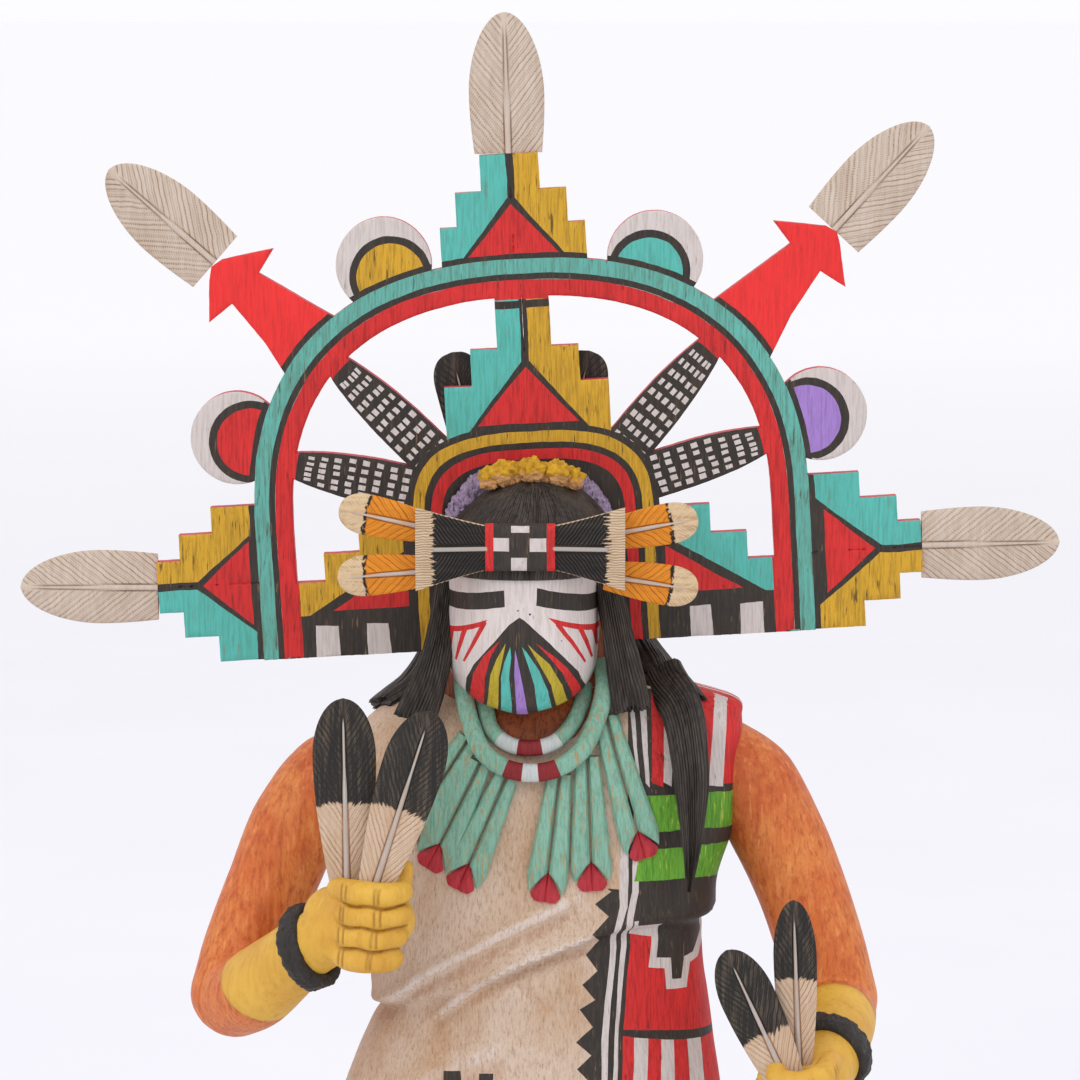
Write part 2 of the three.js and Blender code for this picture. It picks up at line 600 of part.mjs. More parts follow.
function board() {
  const { thick } = BOARD;
  const both = (points) => [plate(points, thick), plate(mirrored(points), thick)];
  const ring = toSolid(plate(arch(ARCH), thick))
    .subtract(toSolid(plate(arch(ARCH, ARCH.band), thick * 3).translate(0, -thick, 0)))
    .translate(ARCH.x, 0, 0);
  const pieces = joined([
    plate(arch(HEAD_ARCH, 0, 14), thick),
    plate(stepped(CREST.steps), thick),
    plate(stepped(TOP_TABLET.steps).map(([x, y]) => [x + TOP_TABLET.x, y]), thick),
    ...SIDE_TABLETS.map(sideTablet), ...both(LOW_PANEL),
    ...both(ARROW).map((arrow) => arrow.translate(ARROW_SHIFT, 0, 0)),
    ...SCALLOPS.flatMap((scallop) => both(disc(scallop))),
    ...EARS.flatMap((one) => both(ear(one))),
  ]);
  const flat = toGeometry(ring.add(pieces));
  const stood = flat.rotateY(-THREE.MathUtils.degToRad(BOARD.tilt)).translate(BOARD.x, 0, BOARD.z);
  const { half, rise, spring, power } = HEAD_HOLE;
  const hole = arch({ half, rise, spring: spring - HEAD_HOLE.foot, power }, 0, 12);
  const opening = plate(hole, thick * 3).translate(HEAD_HOLE.x, -thick, HEAD_HOLE.foot);
  return toSolid(stood).subtract(toSolid(opening));
}

// A point of the board's own plane, in the doll's frame.
function onBoard(x, y) {
  const angle = THREE.MathUtils.degToRad(BOARD.tilt);
  return [
    BOARD.x + x * Math.cos(angle) - y * Math.sin(angle),
    BOARD.z + x * Math.sin(angle) + y * Math.cos(angle),
  ];
}

function rimFeather({ foot, lean, off = GAP }) {
  const [x, z] = onBoard(...foot);
  const roll = lean - BOARD.tilt;
  const angle = THREE.MathUtils.degToRad(roll);
  const at = [x + Math.sin(angle) * off, BOARD.thick / 2, z + Math.cos(angle) * off];
  return placed(feather(OUTER_FEATHER), at, { roll });
}

// ---------------------------------------------------------------- brow bow, flowers and back feathers

function bow() {
  const { x, z, half, waist, end, front, back, block, tall } = BOW;
  const outline = [
    [x - half, z - end], [x - block, z - waist], [x + block, z - waist], [x + half, z - end - 0.6],
    [x + half, z + end - 0.6], [x + block, z + waist], [x - block, z + waist], [x - half, z + end],
  ];
  const wings = plate(outline, back - front).translate(0, front, 0);
  const upright = (from, to, deep) => plate([[from, 250], [to, 250], [to, 330], [from, 330]], deep);
  const behind = toSolid(upright(-60, 60, 20).translate(0, front + 4, 0));
  const middle = toSolid(upright(x - 13, x + 13, 30).translate(0, front, 0));
  const rib = [[x - half, z - 0.7], [x + half, z - 0.7], [x + half, z + 0.7], [x - half, z + 0.7]];
  const knot = [[x - block, z - tall], [x + block, z - tall], [x + block, z + tall], [x - block, z + tall]];
  return joined([
    wings,
    plate(rib, 1.4).translate(0, front - 0.5, 0),
    plate(knot, back - front + 1.4).translate(0, front - 1.4, 0),
  ]).subtract(toSolid(loft(headSections(GAP)))).subtract(behind.subtract(middle));
}

function bowFeather({ foot: [x, z], lean }) {
  const y = BOW.front + 4 + GAP + BOW_FEATHER.thick;
  return placed(feather(BOW_FEATHER), [x, y, z], { roll: lean });
}

function flowers() {
  const { count, x, span, y, z, radius } = FLOWERS;
  const lumps = [];
  for (let i = 0; i < count; i++) {
    const u = (i / (count - 1)) * 2 - 1;
    const lump = new THREE.DodecahedronGeometry(radius * (1.06 - 0.12 * (i % 2)));
    lump.scale(1, 1, 0.88).rotateX(i * 1.3).translate(x + u * span, y - 2 * (i % 2), z - 1.6 * u * u);
    lumps.push(lump);
  }
  return joined(lumps)
    .subtract(toSolid(loft(headSections(GAP))))
    .subtract(toSolid(headband().translate(0, -GAP, 0)));
}

function backFeather({ foot: [x, z], lean }) {
  const feathered = placed(feather(BACK_FEATHER), [x, 7, z], { roll: lean });
  return toSolid(feathered).subtract(joined([loft(headSections(GAP)), backHair(GAP)]));
}

function base() {
  const { radius, height, chamfer } = BASE;
  const profile = [[0, 0], [radius - chamfer / 2, 0], [radius, chamfer], [radius, height - chamfer],
    [radius - chamfer, height], [0, height]].map(([r, y]) => new THREE.Vector2(r, y));
  return new THREE.LatheGeometry(profile, 28).rotateX(Math.PI / 2);
}

// ---------------------------------------------------------------- the doll

const doll = new THREE.Group();

function add(name, piece, color, roughness = 0.75) {
  const geometry = piece.isBufferGeometry ? piece : toGeometry(piece);
  const mesh = new THREE.Mesh(geometry, new THREE.MeshStandardMaterial({ color, roughness, metalness: 0 }));
  mesh.name = name;
  doll.add(mesh);
}

add("base", base(), "#c9a47a", 0.7);
add("figure", figure(), "#d4bfaa");
add("headdress_board", board(), "#5fc3b5");
for (const one of RIM) add(one.name, rimFeather(one), "#cdb9a6");
for (const one of HELD) add(one.name, heldFeather(one), "#2b2826");
add("brow_bow", bow(), "#2b2826");
for (const one of BOW_FEATHERS) add(one.name, bowFeather(one), "#e08a1a");
add("crown_flowers", flowers(), "#d9a51c");
for (const one of BACK_FEATHERS) add(one.name, backFeather(one), "#2b2826");

export default doll;
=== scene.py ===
import math
import bmesh
import bpy
import numpy as np
from mathutils import Matrix, Vector, geometry, kdtree, noise


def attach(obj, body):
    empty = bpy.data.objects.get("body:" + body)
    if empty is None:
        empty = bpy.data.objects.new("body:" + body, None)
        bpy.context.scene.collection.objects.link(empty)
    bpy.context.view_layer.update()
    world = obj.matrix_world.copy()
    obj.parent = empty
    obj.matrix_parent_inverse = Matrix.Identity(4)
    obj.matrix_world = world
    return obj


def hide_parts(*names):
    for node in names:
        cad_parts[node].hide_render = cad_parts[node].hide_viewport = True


# Looks of a carved and painted Butterfly Maiden doll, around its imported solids.
# Lengths are millimetres until a mesh is made; the scene itself is in metres.
# X runs to the viewer's right, Y away from the viewer, Z up; the base stands on Z = 0.

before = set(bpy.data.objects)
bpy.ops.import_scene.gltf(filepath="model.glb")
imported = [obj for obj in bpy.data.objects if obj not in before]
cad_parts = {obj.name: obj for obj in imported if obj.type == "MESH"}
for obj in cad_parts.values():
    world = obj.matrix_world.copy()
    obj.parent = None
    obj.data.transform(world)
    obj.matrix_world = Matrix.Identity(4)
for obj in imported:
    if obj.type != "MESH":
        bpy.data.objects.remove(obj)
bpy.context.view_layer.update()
MM = 0.001

# ---------------------------------------------------------------- materials


def rgb(code):
    """A colour written #RRGGBB as the linear values a shader takes."""
    parts = [int(code[i:i + 2], 16) / 255 for i in (1, 3, 5)]
    return tuple(c / 12.92 if c <= 0.04045 else ((c + 0.055) / 1.055) ** 2.4 for c in parts) + (1.0,)


class Nodes:
    """A material's node tree, with short calls for the nodes used here."""

    def __init__(self, name, rough, specular=0.3):
        self.material = bpy.data.materials.new(name)
        self.material.use_nodes = True
        self.tree = self.material.node_tree
        self.shader = self.tree.nodes["Principled BSDF"]
        self.feed(self.shader, {"Roughness": rough, "Specular IOR Level": specular})
        self.place = self.node("TexCoord").outputs["Object"]

    def feed(self, node, inputs):
        """Gives a node's inputs plain values or other nodes' outputs."""
        for key, value in inputs.items():
            if isinstance(value, bpy.types.NodeSocket):
                self.tree.links.new(value, node.inputs[key])
            else:
                node.inputs[key].default_value = value

    def node(self, kind, inputs=None, **settings):
        node = self.tree.nodes.new("ShaderNode" + kind)
        for key, value in settings.items():
            setattr(node, key, value)
        self.feed(node, inputs or {})
        return node

    def noise(self, scale, stretch=(1, 1, 1), detail=3.0, rough=0.55, shift=0.0):
        """Noise in the object's own metres; stretch multiplies the frequency along each axis."""
        mapping = self.node("Mapping", {"Vector": self.place, "Scale": [scale * s for s in stretch],
                                        "Location": (shift, shift * 0.7, shift * 0.4)})
        inputs = {"Vector": mapping.outputs[0], "Scale": 1.0, "Detail": detail, "Roughness": rough}
        return self.node("TexNoise", inputs).outputs["Fac"]

    def ramp(self, source, low, high, start=0.0, end=1.0):
        """A value that goes from start to end as the source goes from low to high."""
        inputs = {"Value": source, "From Min": low, "From Max": high, "To Min": start, "To Max": end}
        return self.node("MapRange", inputs).outputs["Result"]

    def times(self, a, b):
        return self.node("Math", {0: a, 1: b}, operation="MULTIPLY").outputs[0]

    def plus(self, a, b):
        return self.node("Math", {0: a, 1: b}, operation="ADD").outputs[0]

    def mix(self, factor, a, b):
        return self.node("Mix", {"Factor": factor, "A": a, "B": b}, data_type="RGBA").outputs["Result"]

    def over(self, shade, source, low, high, amount, colour):
        """The shade, with a colour over it that reaches the amount as the source goes from low to high."""
        return self.mix(self.ramp(source, low, high, 0.0, amount), shade, rgb(colour))

    def between(self, source, low, up, down, high):
        """1 from up to down, fading to 0 at low and at high."""
        return self.times(self.ramp(source, low, up), self.ramp(source, down, high, 1.0, 0.0))

    def field(self, name):
        return self.node("Attribute", attribute_name=name).outputs["Fac"]

    def finish(self, colour, height=None, depth=0.1):
        """The material in this colour, with the height as bumps of the given depth in millimetres."""
        self.feed(self.shader, {"Base Color": colour})
        if height is not None:
            bump = self.node("Bump", {"Height": height, "Strength": 1.0, "Distance": depth * MM})
            self.feed(self.shader, {"Normal": bump.outputs[0]})
        return self.material


GRAIN = (1, 1, 0.07)  # carved cottonwood: the grain runs up and down


def paint(name, colour, deep, grain, worn, wear, rough=0.6, bump=0.09, grow=GRAIN):
    """Brushed paint on wood: streaks along the grain, soft blotches, and pits where the wood shows."""
    m = Nodes(name, rough)
    streak = m.noise(1500, grow, 4.0, 0.72)
    blotch = m.noise(85, (1, 1, 0.45), 3.0, 0.6, 3.0)
    pit = m.noise(1300, (1, 1, 0.1), 3.0, 0.6, 7.0)
    shade = m.over(rgb(colour), streak, 0.45, 0.62, grain, deep)
    shade = m.over(shade, blotch, 0.35, 0.8, 0.55 * grain, deep)
    shade = m.over(shade, pit, 0.68 - 0.16 * wear, 0.74 - 0.12 * wear, 0.85, worn)
    return m.finish(shade, m.plus(streak, m.times(pit, 0.8)), bump)


def carved(name, pale, groove, deep, dyed=None, rough=0.66, bump=0.08, grow=GRAIN, grain=0.4, edge=0.5,
           rib=None, belt=None):
    """Carved wood, darker where the field "cut" is high: painted shade in the carved cuts. Field "dip" marks
    the dyed part, in two tones, with a dotted line of the colour belt at its border; field "rib" marks the
    quill."""
    m = Nodes(name, rough)
    streak = m.noise(900, grow, 5.0, 0.66, 2.0)
    blotch = m.noise(130, (1, 1, 0.5), 3.0, 0.6, 5.0)
    cut = m.ramp(m.field("cut"), 0.05, 0.8)
    shade = m.over(rgb(pale), streak, 0.42, 0.7, grain, groove)
    shade = m.over(shade, blotch, 0.4, 0.8, grain, groove)
    # Painted shade: the deep colour is laid into the cuts that the field "cut" marks on the feathers, hair
    # and bow; on the flowers that field is random, for dark flecks.
    shade = m.over(shade, m.times(cut, m.ramp(blotch, 0.2, 0.7, 0.55, 1.0)), 0, 1, 0.9, deep)
    if dyed:
        main, light = dyed
        dye = m.over(rgb(main), m.times(streak, m.ramp(cut, 0, 1, 1, 0.3)), 0.42, 0.66, edge, light)
        shade = m.mix(m.ramp(m.field("dip"), 0.4, 0.6), shade, dye)
    if belt:
        dots = m.ramp(m.noise(900, (1, 1, 1), 1.0, 0.5, 9.0), 0.36, 0.46)
        shade = m.mix(m.times(m.between(m.field("dip"), 0.12, 0.3, 0.7, 0.88), dots), shade, rgb(belt))
    if rib:
        quill = m.over(rgb(rib), streak, 0.4, 0.7, 0.5, groove)
        shade = m.mix(m.ramp(m.field("rib"), 0.3, 0.55), shade, quill)
    return m.finish(shade, streak, bump)


def cloth():
    """Whitened wood with the brown of the grain showing through, with painted highlights on the raised folds
    and painted shade in the valleys below them.
    """
    m = Nodes("robe_white", 0.68)
    fibre = m.noise(1900, (1, 1, 0.2), 5.0, 0.75, 1.0)
    patch = m.noise(42, (1, 1, 0.6), 3.0, 0.6, 6.0)
    brush_and_highlight = m.noise(480, (1, 1, 0.35), 3.0, 0.6, 3.0)
    rise = m.plus(m.field("rise"), m.ramp(brush_and_highlight, 0.3, 0.7, -0.35, 0.35))
    shade = m.over(rgb("#CDB7A3"), patch, 0.42, 0.66, 0.8, "#B8916C")
    # Painted shade in the fold valleys and painted highlight on the fold ridges, read from the field "rise"
    # and broken up by the brush noise.
    shade = m.over(shade, rise, -0.1, -0.9, 0.6, "#A5785C")
    shade = m.over(shade, rise, 0.45, 1.1, 0.6, "#DDD2CC")
    shade = m.over(shade, fibre, 0.5, 0.66, 0.6, "#8E6A4A")
    shade = m.over(shade, fibre, 0.44, 0.3, 0.4, "#E0D3C6")
    return m.finish(shade, m.plus(fibre, m.times(brush_and_highlight, 0.4)), 0.16)


TURQUOISE = paint("turquoise", "#56B6AB", "#4A8E80", 0.6, "#6F8270", 0.35)
RING_TURQUOISE = paint("arch_turquoise", "#62B0A4", "#55796A", 0.75, "#4E5A4A", 0.55)
OCHRE = paint("ochre", "#D2A22B", "#94701E", 0.7, "#4E3A1C", 0.5)
ARROW_RED = paint("arrow_red", "#E8302F", "#B82523", 0.5, "#8A1E1C", 0.1)
RED = paint("red", "#D62D2C", "#951D1E", 0.7, "#5A1C16", 0.3)
RIM_RED = paint("rim_red", "#C8434C", "#9E3038", 0.5, "#A98A70", 0.2)
BLACK = paint("black", "#2A2725", "#4A3D31", 0.55, "#7A6046", 0.25, rough=0.55)
WHITE = paint("white", "#CFC6C2", "#A79A92", 0.5, "#8A7866", 0.15)
LAVENDER = paint("lavender", "#A17FC6", "#7C5A96", 0.5, "#6A4A70", 0.1)
GREEN = paint("green", "#6BA632", "#3B7420", 0.7, "#B4CC55", 0.5)
OLIVE = paint("olive", "#B9A52E", "#8A7620", 0.5, "#6A5A20", 0.1)
MASK_WHITE = paint("mask_white", "#D9D0CC", "#B8AAA2", 0.5, "#A08C80", 0.1, rough=0.5)
CLOTH = cloth()
NECK = paint("neck_brown", "#9C4E28", "#5E2C12", 0.85, "#33190D", 0.4, rough=0.5)
FOOT_WHITE = paint("moccasin_white", "#DCD2C8", "#B8A48F", 0.5, "#8F7458", 0.1)
FOOT_BROWN = paint("moccasin_sole", "#6A3A22", "#42230F", 0.6, "#2F1A10", 0.1)
BASE_WOOD = paint("base_cottonwood", "#CDA67A", "#A87C50", 0.75, "#7A5633", 0.15, rough=0.55, bump=0.16,
                  grow=(0.1, 1, 1))
NECKLACE = paint("necklace_turquoise", "#86B5A0", "#5E8470", 0.6, "#A88A5C", 0.75, rough=0.55, bump=0.14)
BEAD_RED = paint("bead_red", "#8A2529", "#5E181C", 0.5, "#3A1212", 0.1)
BEAD_WHITE = paint("bead_white", "#C6CAC8", "#9FA3A0", 0.4, "#8A7F74", 0.1)
TIP_RED = paint("pendant_red", "#B8323C", "#7E1D26", 0.6, "#4A1216", 0.15)
BRACELET = paint("bracelet_black", "#34302C", "#1B1817", 0.7, "#5C5046", 0.3, rough=0.5, bump=0.3)
PURPLE_BAND = paint("band_purple", "#A995B2", "#74647C", 0.75, "#2E2730", 0.6, bump=0.3, grow=(1, 1, 1))
PALE_FEATHER = carved("pale_feather", "#CDBEAF", "#AE957D", "#74522F", grow=(1, 1, 0.12), rib="#C9BBAE")
DARK_FEATHER = carved("black_tipped_feather", "#CFB79E", "#B08E6C", "#84502C", ("#252220", "#7A6A58"),
                      rib="#B9B0A8")
ORANGE_FEATHER = carved("orange_feather", "#E08C1E", "#BE6C18", "#7C4214", ("#D3B893", "#9A7850"), edge=0.8,
                        grow=(0.1, 1, 1), rib="#BDB6AE", belt="#241C16")
HAIR = carved("black_hair", "#2C2623", "#6A5E53", "#120F0D", rough=0.55, bump=0.14, grain=0.5)
BOW_PAINT = carved("bow_paint", "#D6C0A4", "#B99A76", "#7E5A38", ("#282523", "#5C5046"), grow=(0.1, 1, 1),
                   bump=0.14, rib="#A6A19B")
BLOSSOM = carved("blossom", "#D6A422", "#B4841C", "#7E541C", ("#CF9C66", "#A8744A"), grow=(1, 1, 1), bump=0.3)

# ---------------------------------------------------------------- mesh helpers


def hermite(table, at):
    """A smooth curve through rows (position, value, value, ...), read at the given positions."""
    rows = np.asarray(table, float)
    place, value = rows[:, 0], rows[:, 1:]
    gap = np.diff(place)[:, None]
    rise = np.diff(value, axis=0) / gap
    slope = np.empty_like(value)
    slope[0], slope[-1] = rise[0], rise[-1]
    slope[1:-1] = (rise[:-1] * gap[1:] + rise[1:] * gap[:-1]) / (gap[1:] + gap[:-1])
    at = np.asarray(at, float)
    i = np.clip(np.searchsorted(place, at) - 1, 0, len(place) - 2)
    h = (place[i + 1] - place[i])[..., None]
    s = np.clip((at - place[i])[..., None] / h, 0, 1)
    return ((2 * s**3 - 3 * s**2 + 1) * value[i] + (s**3 - 2 * s**2 + s) * h * slope[i]
            + (3 * s**2 - 2 * s**3) * value[i + 1] + (s**3 - s**2) * h * slope[i + 1])


def route(points, count):
    """Evenly spread places and directions along a smooth line through the points."""
    p = np.array(points, float)
    far = np.r_[0, np.cumsum(np.linalg.norm(np.diff(p, axis=0), axis=1))]
    place = hermite(np.c_[far, p], np.linspace(0, far[-1], count))
    way = np.gradient(place, axis=0)
    return place, way / np.linalg.norm(way, axis=1)[:, None]


def spread(values, t):
    """Values spread evenly over 0 to 1, read at t."""
    return np.interp(t, np.linspace(0, 1, len(values)), values)


def unit(v):
    return v / np.maximum(np.linalg.norm(v, axis=-1, keepdims=True), 1e-9)


def rumple(points, size, seed=0.0, octaves=2):
    """Smooth noise, about -1 to 1, at each point; size is the length of its waves."""
    flat = np.asarray(points, float).reshape(-1, 3) / size
    start = Vector((seed, 0, 0))
    out = np.zeros(len(flat))
    for k in range(octaves):
        out += [noise.noise(Vector(p) * 2**k + start, noise_basis="BLENDER") / 2**k for p in flat]
    return out.reshape(np.asarray(points).shape[:-1])


def groove(x, pitch, sharp=0.16):
    """1 in the middle of each cut across x, 0 between cuts."""
    off = np.abs((x / pitch) % 1.0 - 0.5)
    return np.exp(-((0.5 - off) / sharp) ** 2)


def blunt(c, s, power):
    """How far a rounded square reaches in the direction c, s; a higher power has squarer corners."""
    return (np.abs(c) ** power + np.abs(s) ** power) ** (-1 / power)


def around(sides, rows):
    """Angles round a body from its back, over its left, front and right, alike in every row."""
    return np.tile(np.linspace(-math.pi, math.pi, sides, endpoint=False), (rows, 1))


def grid(rings, sides, closed=False):
    """The faces between rings; a closed grid also joins its last ring to its first."""
    faces = []
    for i in range(rings if closed else rings - 1):
        for j in range(sides):
            low, high, after = i * sides, (i + 1) % rings * sides, (j + 1) % sides
            faces.append((low + j, low + after, high + after, high + j))
    return faces


def loft(rings):
    """Vertices and faces of a tube of rings (rings x sides x 3), closed with a fan at each end."""
    rings = np.asarray(rings, float)
    m, n = rings.shape[:2]
    verts = np.vstack([rings.reshape(-1, 3), rings[0].mean(0), rings[-1].mean(0)])
    faces = grid(m, n)
    faces += [((j + 1) % n, j, m * n) for j in range(n)]
    faces += [((m - 1) * n + j, (m - 1) * n + (j + 1) % n, m * n + 1) for j in range(n)]
    return verts, faces


def merge(parts):
    """Several (verts, faces) pairs as one."""
    verts, faces, start = [], [], 0
    for v, f in parts:
        verts.append(np.asarray(v))
        faces += [tuple(i + start for i in face) for face in f]
        start += len(v)
    return np.vstack(verts), faces


def placed(name, data):
    made = bpy.data.objects.new(name, data)
    bpy.context.scene.collection.objects.link(made)
    return made


def add(name, verts, faces, materials, slot, node, index=None, fields=None, crease=60):
    """Makes a piece of the doll from a mesh in millimetres, in the place of a node's solid."""
    mesh = bpy.data.meshes.new(name)
    mesh.from_pydata((np.asarray(verts, float) * MM).tolist(), [], [tuple(int(i) for i in f) for f in faces])
    for material in materials if isinstance(materials, list) else [materials]:
        mesh.materials.append(material)
    if index is not None:
        mesh.polygons.foreach_set("material_index", np.asarray(index, np.int32))
    for key, values in (fields or {}).items():
        field = mesh.attributes.new(key, "FLOAT", "POINT")
        field.data.foreach_set("value", np.asarray(values, np.float32).ravel())
    bm = bmesh.new()
    bm.from_mesh(mesh)
    bmesh.ops.recalc_face_normals(bm, faces=bm.faces)
    bm.to_mesh(mesh)
    bm.free()
    mesh.shade_smooth()
    mesh.set_sharp_from_angle(angle=math.radians(crease))
    piece = placed(name, mesh)
    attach(piece, "root")
    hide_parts(node)


def add_body(name, verts, faces, materials, **rest):
    """A piece of the one carved figure."""
    add(name, verts, faces, materials, "carved_body", "figure", **rest)


def fused(parts, voxel, rounds):
    """Closed shapes grown into one skin and smoothed, as (verts, faces) in millimetres."""
    verts, faces = merge(parts)
    mesh = bpy.data.meshes.new("fusing")
    mesh.from_pydata((verts * MM).tolist(), [], faces)
    holder = placed("fusing", mesh)
    remesh = holder.modifiers.new("skin", "REMESH")
    remesh.mode = "VOXEL"
    remesh.voxel_size = voxel * MM
    relax = holder.modifiers.new("relax", "SMOOTH")
    relax.factor = 0.5
    relax.iterations = rounds
    bpy.context.view_layer.update()
    made = holder.evaluated_get(bpy.context.evaluated_depsgraph_get()).to_mesh()
    v = np.empty(len(made.vertices) * 3)
    made.vertices.foreach_get("co", v)
    f = [tuple(p.vertices) for p in made.polygons]
    bpy.data.objects.remove(holder)
    bpy.data.meshes.remove(mesh)
    return v.reshape(-1, 3) / MM, f


def sheet(points, faces, index):
    """A bmesh of faces, each with its material's number."""
    bm = bmesh.new()
    verts = [bm.verts.new(p) for p in points]
    for face, number in zip(faces, index):
        bm.faces.new([verts[i] for i in face]).material_index = number
    return bm


def unpack(bm):
    """Takes a bmesh apart into points, faces and material numbers."""
    bm.verts.index_update()
    points = np.array([tuple(v.co) for v in bm.verts])
    faces = [[v.index for v in f.verts] for f in bm.faces]
    index = [f.material_index for f in bm.faces]
    bm.free()
    return points, faces, index


def rim(bm):
    return [e for e in bm.edges if e.is_boundary]


def walls(bm, edges, y_after):
    """Draws edges out along Y into walls, and returns the new faces."""
    made = bmesh.ops.extrude_edge_only(bm, edges=edges)["geom"]
    for v in made:
        if isinstance(v, bmesh.types.BMVert):
            v.co.y = y_after(v.co.y)
    return [g for g in made if isinstance(g, bmesh.types.BMFace)]


# ---------------------------------------------------------------- hand-painted areas


def densify(points, step, closed=True):
    out = []
    for (x0, y0), (x1, y1) in zip(points, list(points[1:]) + [points[0]] * closed):
        n = max(1, round(math.hypot(x1 - x0, y1 - y0) / step))
        out += [(x0 + (x1 - x0) * i / n, y0 + (y1 - y0) * i / n) for i in range(n)]
    return out


def waver(points, amount, seed):
    """A brush's small unsteadiness along an edge."""
    out = []
    for x, y in points:
        slow = noise.noise_vector(Vector((x * 0.12, y * 0.12, seed)))
        fast = noise.noise_vector(Vector((x * 0.55, y * 0.55, seed + 9)))
        out.append((x + amount * (slow.x + 0.55 * fast.x), y + amount * (slow.y + 0.55 * fast.y)))
    return out


def within(points, ring):
    """Which of the points lie inside a closed outline."""
    low, high = ring.min(0), ring.max(0)
    near = np.flatnonzero(np.all((points >= low) & (points <= high), axis=1))
    x, y = points[near].T
    hit = np.zeros(len(near), bool)
    for (x0, y0), (x1, y1) in zip(ring, np.roll(ring, -1, axis=0)):
        if y0 != y1:
            hit ^= ((y0 > y) != (y1 > y)) & (x < x0 + (y - y0) * (x1 - x0) / (y1 - y0))
    out = np.zeros(len(points), bool)
    out[near[hit]] = True
    return out


class Layers:
    """Flat shapes in painter's order: solid ones add board, holes take it away, paint only colours."""

    def __init__(self, wobble, step=0.7):
        self.items, self.wobble, self.step = [], wobble, step

    def put(self, points, colour, kind="paint", wobble=None):
        self.items.append((list(points), colour, kind, self.wobble if wobble is None else wobble))

    def triangles(self, spacing, box):
        """Points, triangles and the colour of each triangle."""
        points, edges, rings = [], [], []
        for k, (outline, _, _, wobble) in enumerate(self.items):
            ring = waver(densify(outline, self.step), wobble, 3.1 * k)
            first, count = len(points), len(ring)
            edges += [(first + i, first + (i + 1) % count) for i in range(count)]
            points += [Vector(p) for p in ring]
            rings.append(np.array(ring))
        tree = kdtree.KDTree(len(points))
        for i, p in enumerate(points):
            tree.insert((p.x, p.y, 0), i)
        tree.balance()
        x0, y0, x1, y1 = box
        free = []
        for j in range(int((y1 - y0) / (spacing * 0.87)) + 1):
            for i in range(int((x1 - x0) / spacing) + 1):
                p = Vector((x0 + (i + 0.5 * (j % 2)) * spacing, y0 + j * spacing * 0.87))
                if tree.find((p.x, p.y, 0))[2] > spacing * 0.45:
                    free.append(p)
        verts, _, faces, _, _, _ = geometry.delaunay_2d_cdt(points + free, edges, [], 0, 1e-5)
        flat = np.array([(v.x, v.y) for v in verts])
        middle = flat[np.array(faces)].mean(1)
        number = np.full(len(faces), -1)
        for k, (_, _, kind, _) in enumerate(self.items):
            held = within(middle, rings[k])
            if kind == "hole":
                number[held] = -1
            elif kind == "solid":
                number[held] = k
            else:
                number[held & (number >= 0)] = k
        kept = np.flatnonzero(number >= 0)
        return flat, [faces[i] for i in kept], [self.items[number[i]][1] for i in kept]


def paints(colours):
    """The distinct materials, and each triangle's place in their list."""
    names = list(dict.fromkeys(colours))
    return names, [names.index(c) for c in colours]


def box(x0, y0, x1, y1):
    return [(x0, y0), (x1, y0), (x1, y1), (x0, y1)]


# ---------------------------------------------------------------- the headdress board

BOARD = {"x": 0.0, "z": 260.9, "tilt": math.radians(3.2), "thick": 4.5}
ARCH = {"x": -0.3, "half": 69.3, "rise": 64.5, "spring": 32.5, "power": 2.4}
HEAD_ARCH = {"half": 31.5, "rise": 24.0, "spring": 31.5, "power": 3.0}
HEAD_HOLE = {"x": -3.6, "half": 20.6, "rise": 14.8, "spring": 290.0, "foot": 255.0, "power": 2.2}
CREST = [(20.5, 50), (20.5, 66), (13.5, 66), (13.5, 75), (6.75, 75), (6.75, 88)]
TOP_TABLET = [(18, 90), (18, 105.5), (13.75, 105.5), (13.75, 114), (7.25, 114), (7.25, 123)]
TOP_SHIFT = -1.2
LEFT_TABLET = [(19.5, 66), (19.5, 80.6), (13, 80.6), (13, 89), (6.5, 89), (6.5, 95)]
RIGHT_TABLET = [(19.5, 66), (19.5, 81.6), (13, 81.6), (13, 90.7), (6.5, 90.7), (6.5, 96.5)]
SIDE_AXIS = 19.7
LOW_PANEL = [(29, 0), (63, 0), (63, 19), (53, 19), (53, 26), (44, 26), (44, 33.3), (29, 33.3)]
# Scallops on each side: place, radius and fill; the left ones sit a little higher than the right ones.
SCALLOPS = [(33.6, 96.2, 11.9, (OCHRE, TURQUOISE)), (72.7, 55.3, 11.6, (RED, LAVENDER))]
SCALLOP_DROP = 1.05
ARROW = [(44, 82.5), (59, 68), (65.3, 79.4), (73, 89.8), (79, 85.5), (78.2, 96), (77.5, 99.3), (75, 100.8),
         (62, 102.8), (66, 97)]
ARROW_SHIFT = 1.3
EARS = [((22, 46.5), (49, 75.5)), ((28, 40.5), (62.5, 49.6))]
EAR_HALF = 5.75
EAR_TAPER = 0.3  # the share of an ear's length that keeps its full width
KERNEL = {"pitch": 3.15, "tall": 0.85, "start": 0.06, "share": 0.78, "rows": 5}


def on_board(x, y):
    c, s = math.cos(BOARD["tilt"]), math.sin(BOARD["tilt"])
    return BOARD["x"] + x * c - y * s, BOARD["z"] + x * s + y * c


def off_board(x, z):
    c, s = math.cos(BOARD["tilt"]), math.sin(BOARD["tilt"])
    x, z = x - BOARD["x"], z - BOARD["z"]
    return x * c + z * s, z * c - x * s


